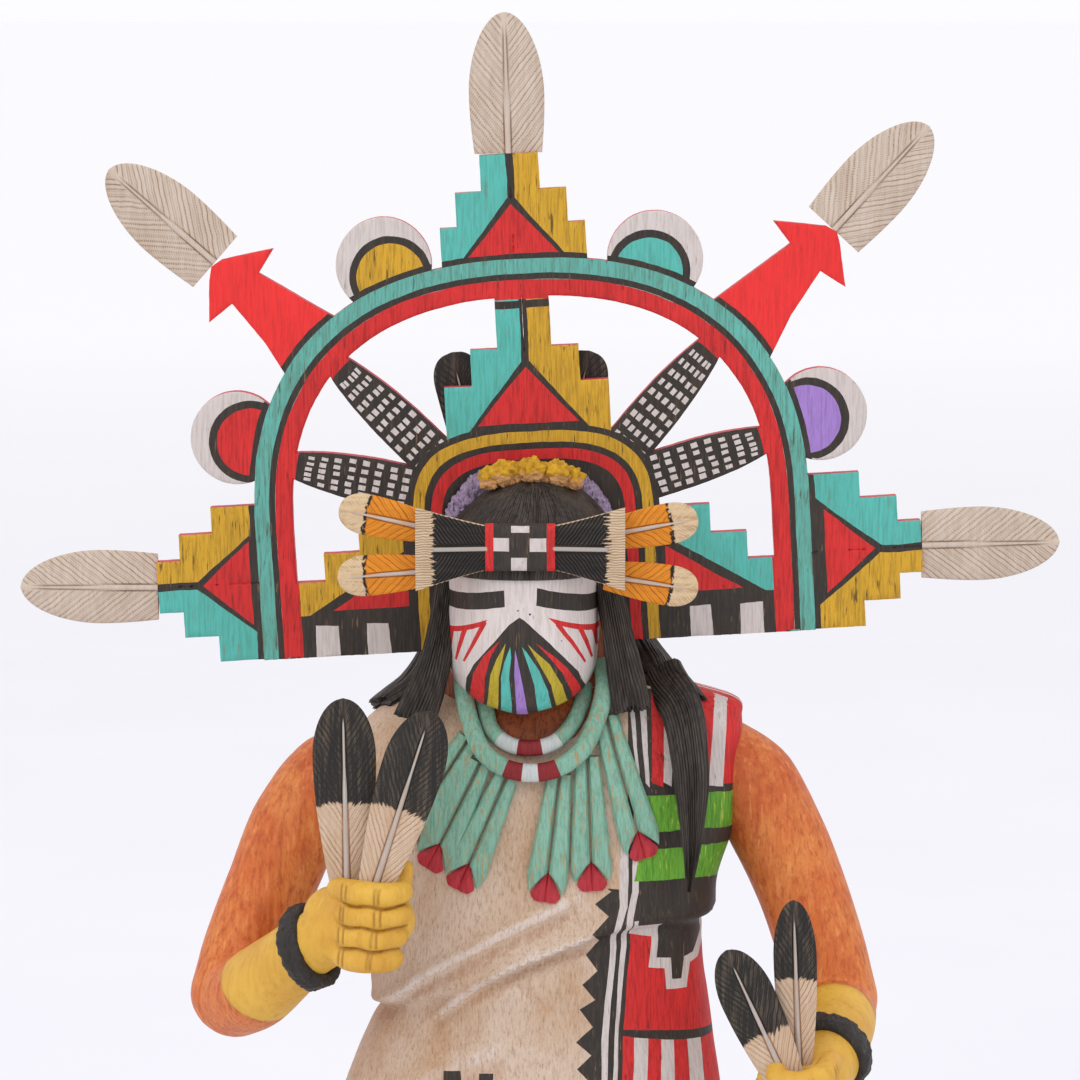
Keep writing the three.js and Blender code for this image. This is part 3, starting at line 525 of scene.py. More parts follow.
def arch(shape, inset=0.0, steps=64, foot=0.0):
    """An arch on straight legs, from its right foot over to its left foot."""
    half, rise = shape["half"] - inset, shape["rise"] - inset
    points = [(half, foot)]
    for i in range(steps + 1):
        c, s = math.cos(math.pi * i / steps), math.sin(math.pi * i / steps)
        out = blunt(c, s, shape["power"])
        points.append((half * c * out, shape["spring"] + rise * s * out))
    return [(x + shape.get("x", 0), y) for x, y in points + [(-half, foot)]]


def band(shape, outer, inner):
    return arch(shape, outer) + arch(shape, inner)[::-1]


def flip(points):
    return [(-x, y) for x, y in points][::-1]


BOTH = (flip, list)  # an outline for the left side, then the same for the right


def disc(x, y, radius, steps=48):
    turns = [2 * math.pi * i / steps for i in range(steps)]
    return [(x + radius * math.cos(a), y + radius * math.sin(a)) for a in turns]


def sleeve(line, side):
    """The outline that runs at one side of a line and back at the other."""
    return [tuple(q) for q in np.vstack([line + side, (line - side)[::-1]])]


def stroke(points, width):
    """A brush line of the given width along the points."""
    p = np.array(points, float)
    way = unit(np.gradient(p, axis=0))
    return sleeve(p, np.c_[-way[:, 1], way[:, 0]] * width / 2)


def ear_half(t):
    past = np.clip(t - EAR_TAPER, 0, None) / (1 - EAR_TAPER)
    return EAR_HALF * np.sqrt(1 - 0.9 * past ** 1.7)


def axes(start, end):
    """A flat line's start and length, and the unit directions along and across it."""
    foot, tip = np.array(start, float), np.array(end, float)
    length = np.linalg.norm(tip - foot)
    way = (tip - foot) / length
    return foot, length, way, np.array([-way[1], way[0]])


def ear_outline(start, end):
    foot, length, way, side = axes(start, end)
    t = np.linspace(0, 1, 15)[:, None]
    return sleeve(foot + t * length * way, -ear_half(t) * side)


def kernels(start, end):
    """The pale kernels of a corn ear, row by row along it."""
    foot, length, way, side = axes(start, end)
    steps = int(length * KERNEL["share"] / KERNEL["pitch"])
    out = []
    for i in range(steps):
        t = KERNEL["start"] + KERNEL["share"] * (i + 0.5) / steps
        column = 0.41 * (ear_half(t) - 0.7)
        for j in range(KERNEL["rows"]):
            jog = noise.noise_vector(Vector((i * 2.3, j * 1.7, start[0])))
            reach = 0.3 * column * (1 + 0.25 * jog.z)
            centre = foot + way * (t * length) + side * ((j - 2) * column) + np.array([jog.x, jog.y]) * 0.35
            corners = box(-KERNEL["tall"], -reach, KERNEL["tall"], reach)
            out.append([tuple(centre + way * u + side * v) for u, v in corners])
    return out


def tablet(layers, steps, turn, colours, apex, foot, bar=False):
    """A stepped tablet in two colours with a black line down to a black-edged red triangle."""
    top = steps[-1][1]

    def put(points, colour, *how):
        layers.put([turn(*p) for p in points], colour, *how)

    right = steps + [(0, top), (0, steps[0][1])]
    put(flip(right), colours[0], "solid", 0.1)
    put(right, colours[1], "solid", 0.1)
    put(stroke([(0, top + 0.5), (0.2, (top + apex) / 2), (0, apex - 2)], 1.9), BLACK)
    if bar:
        put(stroke([(-9, top - 2.2), (9, top - 2.2)], 1.9), BLACK)
    wide, low = foot
    put([(0, apex + 2.6), (wide + 3.2, low - 2.4), (-wide - 3.2, low - 2.4)], BLACK)
    put([(0, apex), (wide, low), (-wide, low)], RED)


def board_layers():
    """The board's outline, openings and painting, flat in its own plane."""
    g = Layers(0.2)
    tidy = 0.1
    for x, y, radius, fills in SCALLOPS:
        for sign, fill in zip((-1, 1), fills):
            centre = np.array([sign * x, y - sign * SCALLOP_DROP])
            inward = unit(np.array([0, ARCH["spring"]]) - centre)
            g.put(disc(*centre, radius), WHITE, "solid", tidy)
            g.put(disc(*(centre + 3.4 * inward), 10.3), BLACK)
            g.put(disc(*(centre + 3.6 * inward), 8.5), fill)
    for turn in BOTH:
        g.put([(x + ARROW_SHIFT, y) for x, y in turn(ARROW)], ARROW_RED, "solid", tidy)
    pair = (TURQUOISE, OCHRE)
    tablet(g, TOP_TABLET, lambda x, y: (x + TOP_SHIFT, y), pair, 110.6, (11.6, 97.6))
    # On the left the upper half is ochre, on the right the lower half is.
    tablet(g, LEFT_TABLET, lambda x, y: (-y, SIDE_AXIS + x), pair, 83.6, (10.6, 71.6))
    tablet(g, RIGHT_TABLET, lambda x, y: (y, SIDE_AXIS - x), pair, 84.8, (10.6, 72.4))
    g.put(arch(ARCH, -1.4), BLACK)
    g.put(arch(ARCH), RING_TURQUOISE, "solid", tidy)
    g.put(arch(ARCH, 9.4, foot=-2), BLACK, "hole", tidy)
    for start, end in EARS:
        for turn in BOTH:
            g.put(turn(ear_outline(start, end)), BLACK, "solid", tidy)
            for kernel in kernels(start, end):
                g.put(turn(kernel), WHITE, "paint", 0.22)
    for turn, top in zip(BOTH, (OCHRE, TURQUOISE)):
        g.put(turn(LOW_PANEL), top, "solid", tidy)
        g.put(turn([(29, 9.7), (63, 9.7), (57.6, 10.4), (33, 25.6), (33, 33), (29, 33)]), BLACK)
        g.put(turn([(32.4, 11.6), (51.4, 11.6), (32.4, 23.4)]), RED)
        g.put(turn(box(29, -1, 63, 10.6)), BLACK)
        for inner, outer in ((37.6, 43.4), (50.2, 56.3)):
            g.put(turn([(inner, -1), (outer, -1), (outer - 0.2, 7.9), (inner + 0.2, 7.7)]), WHITE)
        g.put(turn(box(60.2, -1, 62, 20)), BLACK)
    tablet(g, CREST, lambda x, y: (x, y), pair, 70.2, (12.6, 56), bar=True)
    for outer, inner, colour in ((0, 3.7, RING_TURQUOISE), (3.7, 5.2, BLACK), (5.2, 10.0, RED)):
        g.put(band(ARCH, outer, inner), colour, "paint", 0.14)
    g.put(arch(HEAD_ARCH), BLACK, "solid", 0.12)
    for inset, colour in ((1.5, OCHRE), (4.3, BLACK), (5.9, RED), (8.6, BLACK)):
        g.put(arch(HEAD_ARCH, inset, foot=-1), colour)
    # The opening round the head stands upright while the board leans.
    g.put([off_board(x, z) for x, z in arch(HEAD_HOLE, foot=HEAD_HOLE["foot"] - 6)], BLACK, "hole", 0.0)
    return g


def board():
    """The pierced plate: a painted front with softened edges, red rims and a painted back."""
    thick = BOARD["thick"]
    flat, faces, colours = board_layers().triangles(1.5, (-98, -2, 98, 126))
    names, index = paints(colours)
    bm = sheet([(x, 0, z) for x, z in (on_board(*p) for p in flat)], faces, index)
    bmesh.ops.delete(bm, geom=[v for v in bm.verts if not v.link_faces], context="VERTS")
    bmesh.ops.recalc_face_normals(bm, faces=bm.faces)
    if sum(f.normal.y for f in bm.faces) > 0:
        bmesh.ops.reverse_faces(bm, faces=bm.faces)
    bmesh.ops.inset_region(bm, faces=bm.faces, use_boundary=True, use_even_offset=False, thickness=0.45)
    for v in bm.verts:
        v.co.y = 0.16 * noise.noise(v.co / 9) + 0.1 * noise.noise(v.co / 3)
    for v in {v for e in rim(bm) for v in e.verts}:
        v.co.y += 0.34
    back = bmesh.ops.duplicate(bm, geom=list(bm.verts) + list(bm.edges) + list(bm.faces))["geom"]
    for v in [g for g in back if isinstance(g, bmesh.types.BMVert)]:
        v.co.y = thick - v.co.y
    bmesh.ops.reverse_faces(bm, faces=[g for g in back if isinstance(g, bmesh.types.BMFace)])
    front_rim = [e for e in rim(bm) if all(v.co.y < thick / 2 for v in e.verts)]
    for f in walls(bm, front_rim, lambda y: thick - y):
        f.material_index = len(names)  # the rim's red, which is added after the painted colours
    bmesh.ops.remove_doubles(bm, verts=bm.verts, dist=0.002)
    bmesh.ops.recalc_face_normals(bm, faces=bm.faces)
    verts, faces, index = unpack(bm)
    names.append(RIM_RED)
    add("headdress_tablita", verts, faces, names, "board_paint", "headdress_board", index, crease=44)


board()

# ---------------------------------------------------------------- feathers


def feather(spec, across=56, rows=150):
    """A carved feather standing up from the origin, its face towards -Y, with its cut, dip and rib fields."""
    length, half, thick = spec["length"], spec["half"], spec["thick"]
    t = np.linspace(0, 1, rows) ** 0.96
    to_tip = np.clip((t - (1 - spec["tip"])) / spec["tip"], 0, 1)
    broad = spec["base"] + (1 - spec["base"]) * np.sin(np.minimum(1, t / (1 - spec["tip"])) * math.pi / 2)
    width = half * broad * np.maximum(0.002, 1 - to_tip ** spec["round"]) ** (1 / spec["round"])
    u = np.linspace(-1, 1, across)
    z = (t * length)[:, None] + 0 * u
    x = width[:, None] * u
    body = (thick * (1 - 0.35 * to_tip))[:, None]
    seed, pitch = spec["seed"], spec["pitch"]
    far = np.abs(x)
    wander = 0.35 * rumple(np.stack([x, z, 0 * z], -1), 4.0, seed, 3)
    barb = z - far * spec["slant"] + wander
    cut = groove(barb, pitch, 0.2) * np.clip((far - 0.5) / 0.6, 0, 1)
    cut *= 0.55 + 0.45 * np.sin(barb * 2.9 + seed + 2.0 * np.sign(x))
    quill = spec["quill"] * (1.12 - t)[:, None] + 0.1
    shown = np.clip((0.94 - t)[:, None] * 8, 0, 1)
    line = np.exp(-((far - quill - 0.18) / 0.16) ** 2) * shown
    rib = np.clip((quill - far) / 0.12 + 0.5, 0, 1) * shown
    edge = np.sqrt(np.clip(1.04 - np.abs(u) ** 6, 0, 1))
    half_thick = body * (0.42 + 0.42 * (1 - np.abs(u)) ** 0.8)
    raised = 0.42 * rib * np.sqrt(np.clip(1 - (far / quill) ** 2, 0, 1))
    face = (-half_thick - raised) * edge + 0.2 * cut + 0.3 * line
    back = half_thick * edge - 0.2 * cut
    hairy = spec["hairy"] * rumple(np.stack([barb, x / 8, 0 * z], -1), 0.8, seed + 5, 2)
    dip = (z - spec.get("dip", 1e3) + 0.12 * far + 1.3 * wander + hairy) / spec.get("fade", 1.2) + 0.5
    rings = np.concatenate([np.stack([x, face, z], -1), np.stack([x, back, z], -1)[:, ::-1]], 1)
    both = lambda front, rear: np.r_[np.concatenate([front, rear[:, ::-1]], 1).ravel(), 0, 0]
    verts, faces = loft(rings)
    dip = np.clip(both(dip, dip), 0, 1)
    dip[-1] = float("dip" in spec)
    return verts, faces, {"cut": both(np.clip(cut + line, 0, 1), cut), "dip": dip, "rib": both(rib, 0 * rib)}


def turned(verts, at, roll=0.0, pitch=0.0, turn=0.0):
    """Rolled about Y, pitched about X and turned about Z, then moved, in degrees."""
    spin = (Matrix.Rotation(math.radians(turn), 3, "Z") @ Matrix.Rotation(math.radians(roll), 3, "Y")
            @ Matrix.Rotation(math.radians(pitch), 3, "X"))
    return np.asarray(verts) @ np.array(spin).T + np.array(at, float)


# Each feather: its shape, the pitch and slant of its barbs, half its quill's width, and, where it is
# dyed, the height at which the dye starts, the length over which it fades in and its raggedness.
OUTER_FEATHER = {"length": 34.5, "half": 9.3, "thick": 1.9, "tip": 0.58, "base": 0.9, "round": 1.9,
                 "pitch": 0.95, "slant": 1.3, "quill": 0.55, "hairy": 0}
HELD_FEATHER = {"thick": 1.5, "tip": 0.3, "base": 0.52, "round": 2.0, "pitch": 1.0, "slant": 1.6,
                "quill": 0.55, "fade": 2.6, "hairy": 0.9}
BOW_FEATHER = {"length": 22.8, "half": 5, "thick": 1.2, "tip": 0.3, "base": 0.7, "round": 2.2, "pitch": 0.9,
               "slant": 1.1, "quill": 0.45, "dip": 16.4, "fade": 1.5, "hairy": 0.15}
BACK_FEATHER = {"length": 51.5, "half": 6.2, "thick": 1.3, "tip": 0.16, "base": 0.7, "round": 2.4,
                "pitch": 1.1,
                "slant": 1.3, "quill": 0.5, "dip": 3, "hairy": 0}


def add_feather(node, spec, seed, at, turns, material, slot, *count):
    """Carves a feather and stands it at its foot, rolled and pitched by the turns in degrees."""
    v, f, fields = feather({**spec, "seed": seed}, *count)
    add("carved_" + node, turned(v, at, *turns), f, material, slot, node, fields=fields)


# Feathers at the board's rim: foot in the board's plane, lean from upright, and distance from the rim.
RIM_FEATHERS = [
    ("top_feather", (-1.2, 123), 1.5, 0.05), ("left_side_feather", (-95, 19.8), -86.8, 0.1),
    ("right_side_feather", (96.5, 19.8), 92, 0.1), ("left_upper_feather", (-75.2, 100.2), -45.5, 0.2),
    ("right_upper_feather", (78, 99.6), 45.5, 0.2),
]
for k, (node, foot, lean, off) in enumerate(RIM_FEATHERS):
    x, z = on_board(*foot)
    roll = lean - math.degrees(BOARD["tilt"])
    a = math.radians(roll)
    at = (x + math.sin(a) * off, BOARD["thick"] / 2, z + math.cos(a) * off)
    add_feather(node, OUTER_FEATHER, 3.0 * k, at, (roll,), PALE_FEATHER, "pale_feather")

# Feathers in the fists: foot, roll, pitch, length, half the width, and how much of the tip is black.
HELD = [
    ("left_hand_feather_outer", (-46.6, -46.4, 209), -1, -2, 46.5, 7.6, 25),
    ("left_hand_feather_inner", (-40.2, -50.2, 209.6), 17.8, -2, 45.6, 7.5, 24.5),
    ("right_hand_feather_inner", (61.8, -55.3, 158), -25, -4, 41.5, 6.6, 22),
    ("right_hand_feather_outer", (62.2, -51.4, 161), -2, -4, 46, 5.2, 18.8),
]
for k, (node, at, roll, pitch, length, half, black) in enumerate(HELD):
    spec = {**HELD_FEATHER, "length": length, "half": half, "dip": length - black}
    add_feather(node, spec, 11.0 + k, at, (roll, pitch), DARK_FEATHER, "dark_feather")

# The two black feathers behind the board, and the four behind the bow's ends: foot and lean.
for k, (side, x, lean) in enumerate([("left", -9.5, -14.5), ("right", 1, 12.5)]):
    add_feather(side + "_back_feather", BACK_FEATHER, 21.0 + k, (x, 7, 284), (lean,), DARK_FEATHER,
                "dark_feather")

BOW = {"x": -5.0, "z": 290.6, "half": 25.2, "waist": 5.3, "end": 10.2, "front": -36.4, "block": 8.8,
       "tall": 5.9}
BOW_FEATHERS = [("upper_left", -26.5, 294.6, -77.5), ("lower_left", -26.5, 284.4, -94.5),
                ("upper_right", 15.5, 293, 79.5), ("lower_right", 15.5, 283.2, 99)]
for k, (end, x, z, lean) in enumerate(BOW_FEATHERS):
    add_feather("bow_feather_" + end, BOW_FEATHER, 31.0 + k, (x, BOW["front"] + 5.5, z), (lean,),
                ORANGE_FEATHER, "orange_feather", 44, 110)

# ---------------------------------------------------------------- the robed body

# Level sections: height, left edge, right edge, front depth, back depth.
ROBE = [
    (47, -55.6, 53.6, 35.6, 35.6), (84, -55, 52.5, 35.5, 35.5), (120, -53.5, 49.5, 33.5, 34),
    (149, -49, 46, 30, 31), (164, -43.5, 43.5, 27.5, 29), (169, -41, 42.8, 26.7, 28.3),
    (173, -41, 42.2, 26.6, 27.9), (178, -42, 41.5, 27, 27.5), (184, -42.5, 41, 26.8, 27),
    (190, -42.5, 41, 26.5, 26.5), (195, -42.3, 42, 26, 26), (202, -42, 43.5, 25.4, 25.4),
    (213, -43, 47.5, 24, 24.5), (226, -46, 49.5, 22, 23), (236, -47, 50, 19.5, 20.5),
    (243, -43, 50.5, 17, 18), (248, -35, 48.5, 14.5, 15), (252, -21, 35, 11.3, 12),
]
ROBE_POWER = 2.35
ROUND = 45.0  # the robe's mean radius: angle times this is a distance round the body
SEAM = math.pi * ROUND
# The blouse's edge over the sash, from the left side to the right.
HANG_LINE = [(-60, 163), (-41, 170.5), (-23, 177), (-5, 184.5), (14, 192), (28, 194), (41, 193.5), (60, 197)]
# Raised folds in front: the line of each, its width and its height.
FOLDS = [
    ([(-44, 168), (-27.5, 182.7), (-15, 190), (-5, 195.3), (4, 199.5), (12, 203)], 1.9, 1.3),
    ([(-30, 168), (-15, 180), (-8, 184.3), (1, 188.4), (10.6, 191.5), (16, 193)], 1.6, 1.3),
    ([(-44, 146), (-28, 156), (-16, 162), (-4, 166)], 3.2, 0.8),
    ([(-36, 182), (-30, 196), (-24, 206)], 2.6, 0.7),
]


def shell(table, power, angle, z):
    """A point of a body of rounded level sections; the angle is 0 at the front, positive to the right."""
    left, right, front, back = np.moveaxis(hermite(table, z), -1, 0)
    c, s = np.sin(angle), -np.cos(angle)
    out = blunt(c, s, power)
    x = (left + right) / 2 + (right - left) / 2 * c * out
    return np.stack([x, s * out * np.where(s < 0, front, back), z + 0 * x], -1)


def shell_angle(table, power, x, z):
    """The angle at which the front of a body of level sections has this x."""
    left, right, _, _ = hermite(table, np.array([z]))[0]
    u = max(-0.9995, min(0.9995, (2 * x - left - right) / (right - left)))
    return math.atan2(u, (1 - abs(u) ** power) ** (1 / power))


def pleat(x, sharp):
    """A soft wave with narrow valleys."""
    return 1 - 2 * np.abs(np.sin(x / 2)) ** sharp


def drawn(p):
    """Height of the drawn folds in front: ridges with a valley along their lower side."""
    x, y, z = np.moveaxis(p, -1, 0)
    out = 0 * x
    for line, wide, tall in FOLDS:
        first, last = line[0][0], line[-1][0]
        off = z - hermite(line, x)[..., 0]
        near = np.clip((x - first) / 7, 0, 1) * np.clip((last - x) / 7, 0, 1)
        out += tall * near * (np.exp(-(off / wide) ** 2) - 0.6 * np.exp(-((off + 1.7 * wide) / wide) ** 2))
    return out * np.clip(-y / 10, 0, 1)


def folds(p, angle):
    """How far the cloth stands out of the body's plain form, in millimetres."""
    x, y, z = np.moveaxis(p, -1, 0)
    over = z - hermite(HANG_LINE, x)[..., 0]
    out = 2.6 * np.clip(over / 1.6 + 0.3, 0, 1) * np.exp(-np.clip(over, 0, None) / 10.0)
    out -= 0.8 * np.exp(-((over + 1.2) / 1.6) ** 2)
    out += drawn(p)
    skirt = np.clip((168 - z) / 60, 0, 1) * np.clip(1.25 - np.clip(-y / 10, 0, 1), 0.25, 1)
    out += skirt * 1.9 * pleat(angle * 9 + 0.7 + 0.35 * np.sin(z / 21), 0.9)
    back = np.clip(y / 8, 0, 1) * 1.2 * np.clip((z - 175) / 25, 0, 1)
    out += back * np.sin(angle * 7 + z / 17) * np.clip((240 - z) / 20, 0, 1)
    return out + 0.25 * rumple(p, 16.0, 4.0)


def robe_point(angle, z):
    p = shell(ROBE, ROBE_POWER, angle, z)
    away = unit(np.stack([p[..., 0] / 2200, p[..., 1] / 900, 0 * z], -1))
    return p + away * folds(p, angle)[..., None]


def on_robe(x, z):
    return shell_angle(ROBE, ROBE_POWER, x, z) * ROUND, z


def robe_layers():
    """The painted dress, in distance round the body and height."""
    g = Layers(0.16, 0.9)
    g.put(box(-SEAM, 47, SEAM, 252), CLOTH, "solid", 0.0)

    def put(points, colour, wobble=0.16):
        g.put([on_robe(*p) for p in densify(points, 1.0)], colour, "paint", wobble)

    def stripes(tops, feet, colours, levels):
        """Stripes side by side; levels gives the heights of each one's corners."""
        for k, colour in enumerate(colours):
            x = (tops[k], tops[k + 1], feet[k + 1], feet[k])
            put(list(zip(x, levels(k))), colour, 0.12)

    # The embroidered panel down the right side, on over the edge and round to the back.
    panel = [(21.4, 251), (21.6, 232), (21.2, 216), (19.8, 206), (18.4, 199), (17.2, 194.5), (16.4, 186),
             (15.2, 176), (14.3, 166), (14.2, 156), (14.0, 130), (14.0, 60)]
    right = [(88, 60), (88, 150), (88, 200), (88, 252.5)]
    g.put([on_robe(*p) for p in densify(panel, 1.0, closed=False)] + right, BLACK)
    saw = [(16.0, 204.3), (17.0, 203.5), (13.0, 200.6), (16.2, 197.5), (12.2, 193.3), (14.6, 191.1),
           (11.2, 187.6), (14.0, 183.6), (10.2, 180.3), (13.4, 176.3), (9.5, 173.9), (12.8, 169.3),
           (8.7, 165.7), (12.5, 162.4), (8.9, 159.1)]
    for k in range(9):
        z = 155.5 - 7.6 * k
        saw += [(12.4, z), (8.8, z - 3.6)]
    put(saw + [(18, 84), (18, 156), (18, 186), (19, 204)], BLACK, 0.12)
    put([(20.3, 224), (21.6, 224), (21.5, 207.5), (20.9, 199.4), (19.0, 194.3), (18.4, 185.5), (17.3, 176),
         (16.7, 166.4), (16.5, 156), (16.4, 84), (14.8, 84), (15, 156), (15, 166.4), (15.8, 176),
         (16.9, 185.6), (17.5, 194.4), (19, 199.6), (19.3, 206.5), (19.7, 216)], WHITE, 0.12)
    put([(22.8, 224), (24.1, 224), (23.8, 203.2), (22.2, 196.8), (21.5, 192.2), (20.5, 183.5), (19.2, 168.5),
         (18.9, 156), (18.7, 84), (17.6, 84), (17.8, 156), (18.3, 168.5), (19.2, 183.5), (20.1, 192.3),
         (20.6, 196.9), (22.2, 203.3)], WHITE, 0.12)
    # Upright stripes at the shoulder.
    stripes([21.5, 22.8, 24.2, 25.9, 27.4, 30.7, 33.4], [23.9, 24.6, 25.8, 26.8, 27.4, 30.2, 32.2],
            [WHITE, BLACK, WHITE, BLACK, RED, WHITE], lambda k: (251.5, 251.5, 228.4, 229.6))
    stripes([36.5, 39.4, 43.3, 46.6, 50.0], [37.2, 39.4, 41.6, 45.2, 48.6],
            [WHITE, RED, WHITE, RED], lambda k: (251.5, 251.5, 227.0, 227.8))
    g.put([(on_robe(48.4, 228)[0], 226.8), (88, 226), (88, 252.4), (on_robe(49.3, 246)[0], 252)], RED)
    for k in range(2):
        x = 66 + 8.5 * k
        g.put([(x, 226.5), (x + 3.6, 226.5), (x + 3.8, 250.8), (x - 0.2, 250.8)], WHITE)
    # Green bars between black ones.
    start, far = on_robe(25.2, 222)[0], 87.4
    for high, high_end, foot, foot_end in ((226.6, 223.4, 217.8, 214.4), (213.6, 210.4, 205.6, 201.4)):
        mid = on_robe(40, high)[0]
        lower = [(start, foot), (mid, foot - 0.5), (far, foot_end)]
        g.put(lower + [(far, high_end), (mid, high - 0.4), (start, high)], GREEN, "paint", 0.35)
    # The field of red with a black cloud figure, edged white.
    field = [(22.5, 193.2), (21.4, 183.4), (20.5, 168.4), (26, 167.9), (32, 167.1), (38, 166.0),
             (44.4, 164.4)]
    put(field + [(44.3, 177), (42.5, 190), (41, 195.0), (36, 196.6), (28, 196.0)], RED)
    side = on_robe(43.9, 178)[0]
    g.put([(side, 194), (side, 164.0), (far, 163.4), (far, 194)], RED)
    put([(22.0, 192.4), (22.4, 196), (30, 196.4), (41.4, 196.4), (41.3, 187.6), (39.4, 183.4), (37.2, 182.8),
         (36.4, 176.8), (31.2, 177.4), (30.6, 182.8), (26.6, 183.6), (27.6, 191.2)], WHITE, 0.1)
    put([(23.6, 196.6), (41.6, 196.8), (40.2, 189.4), (38.0, 185.2), (35.6, 184.8), (35.0, 179.4),
         (32.6, 179.8), (32.2, 185.2), (28.6, 185.8), (29.6, 194.4), (23.2, 194.8)], BLACK, 0.1)
    # Below it, stripes down to a black border.
    stripes([20.3, 23.1, 26.6, 29.9, 33.2, 36.7, 40.2, 44.2],
            [19.9, 22.6, 26.1, 29.9, 33.6, 37.6, 41.6, 46.4],
            [RED, WHITE] * 3 + [RED], lambda k: (166.9 - 0.6 * k, 166.3 - 0.6 * k, 148 - 0.5 * k, 148.4))
    for k, colour in enumerate([WHITE, RED] * 2):
        x = side + 0.6 + 4.9 * k
        g.put([(x, 160.2), (x + 4.4, 160.2), (x + 4.6, 144.5), (x, 144.5)], colour)
    start = on_robe(20.4, 140)[0]
    for top, foot, colour in ((141.5, 133.5, GREEN), (129.5, 121.5, GREEN), (117.5, 96, RED)):
        g.put([(start, foot), (far, foot - 1.4), (far, top - 1.4), (start, top)], colour, "paint", 0.3)
    g.put(box(88, 47, 90.2, 251), WHITE)
    g.put(box(90.2, 47, 92.4, 251), BLACK)
    # The hem's border: two lines and stepped clouds, all the way round.
    for foot, top, colour in ((47, 66, BLACK), (50.5, 53, RED), (55.5, 57.5, GREEN)):
        g.put(box(-SEAM, foot, SEAM, top), colour)
    clouds = 14
    for k in range(clouds):
        x = -SEAM + (k + 0.5) * 2 * SEAM / clouds
        for half, high in ((6.2, 70), (4.2, 74), (2.2, 78)):
            g.put(box(x - half, 65, x + half, high), BLACK)
        g.put(box(x - 2.0, 59.6, x + 2.0, 63.4), WHITE)
    # The two small marks where the front border starts.
    put([(-23.9, 158.4), (-19.8, 158.6), (-19.9, 154), (-15.6, 153.8), (-15.4, 157.9), (-11.9, 158),
         (-12, 149), (-24.6, 149)], BLACK, 0.1)
    # The bare neck below the necklace's inner strand.
    put([(-19, 252), (-16, 246), (-12.5, 241), (-7, 238.4), (-2.5, 237.6), (3.5, 238.4), (8.5, 241),
         (12, 246), (14.5, 252)], NECK, 0.1)
    return g


def cover(layers, spacing, area, place):
    """A painted skin round a body, joined at the back: place turns flat points into points in space."""
    flat, faces, colours = layers.triangles(spacing, area)
    names, index = paints(colours)
    used = sorted({i for f in faces for i in f})
    lookup = {old: new for new, old in enumerate(used)}
    bm = sheet(place(flat[used]), [[lookup[i] for i in f] for f in faces], index)
    bmesh.ops.remove_doubles(bm, verts=bm.verts, dist=0.01)
    for _ in range(2):
        bmesh.ops.holes_fill(bm, edges=rim(bm), sides=0)
    bmesh.ops.triangulate(bm, faces=[f for f in bm.faces if len(f.verts) > 4])
    points, faces, index = unpack(bm)
    return points, faces, names, index


v, f, names, index = cover(robe_layers(), 1.35, (-SEAM + 0.6, 47.6, SEAM - 0.6, 251.6),
                           lambda q: robe_point(q[:, 0] / ROUND, q[:, 1]))
# The field "rise", the height of the drawn folds, places the robe's painted highlights and painted shade.
add_body("painted_robe", v, f, names, index=index, fields={"rise": drawn(v)})

# ---------------------------------------------------------------- the case mask and the hair

HEAD_X = -4.6
HEAD = [
    (248.3, -10.6, 1.4, 27, 6), (249.6, -16.1, 6.9, 30, 8), (252.4, -20.6, 11.4, 31.5, 9.5),
    (256.5, -23, 13.8, 32.3, 11), (263, -23.8, 14.6, 32.5, 12), (276, -23.9, 14.7, 32, 13),
    (287, -23.2, 15.4, 31.4, 13.5), (293.5, -20.8, 16, 29.5, 13.5), (298.5, -16.2, 12.9, 25.5, 11.5),
    (301.8, -12.2, 8.8, 20.5, 8), (303.6, -7.6, 4.2, 14.5, 3),
]
HEAD_POWER = 2.3
CHEEK = 24.0  # the mask's mean radius, as ROUND is the robe's
MASK_SEAM = math.pi * CHEEK


def on_head(x, z):
    return shell_angle(HEAD, HEAD_POWER, x, z) * CHEEK, z


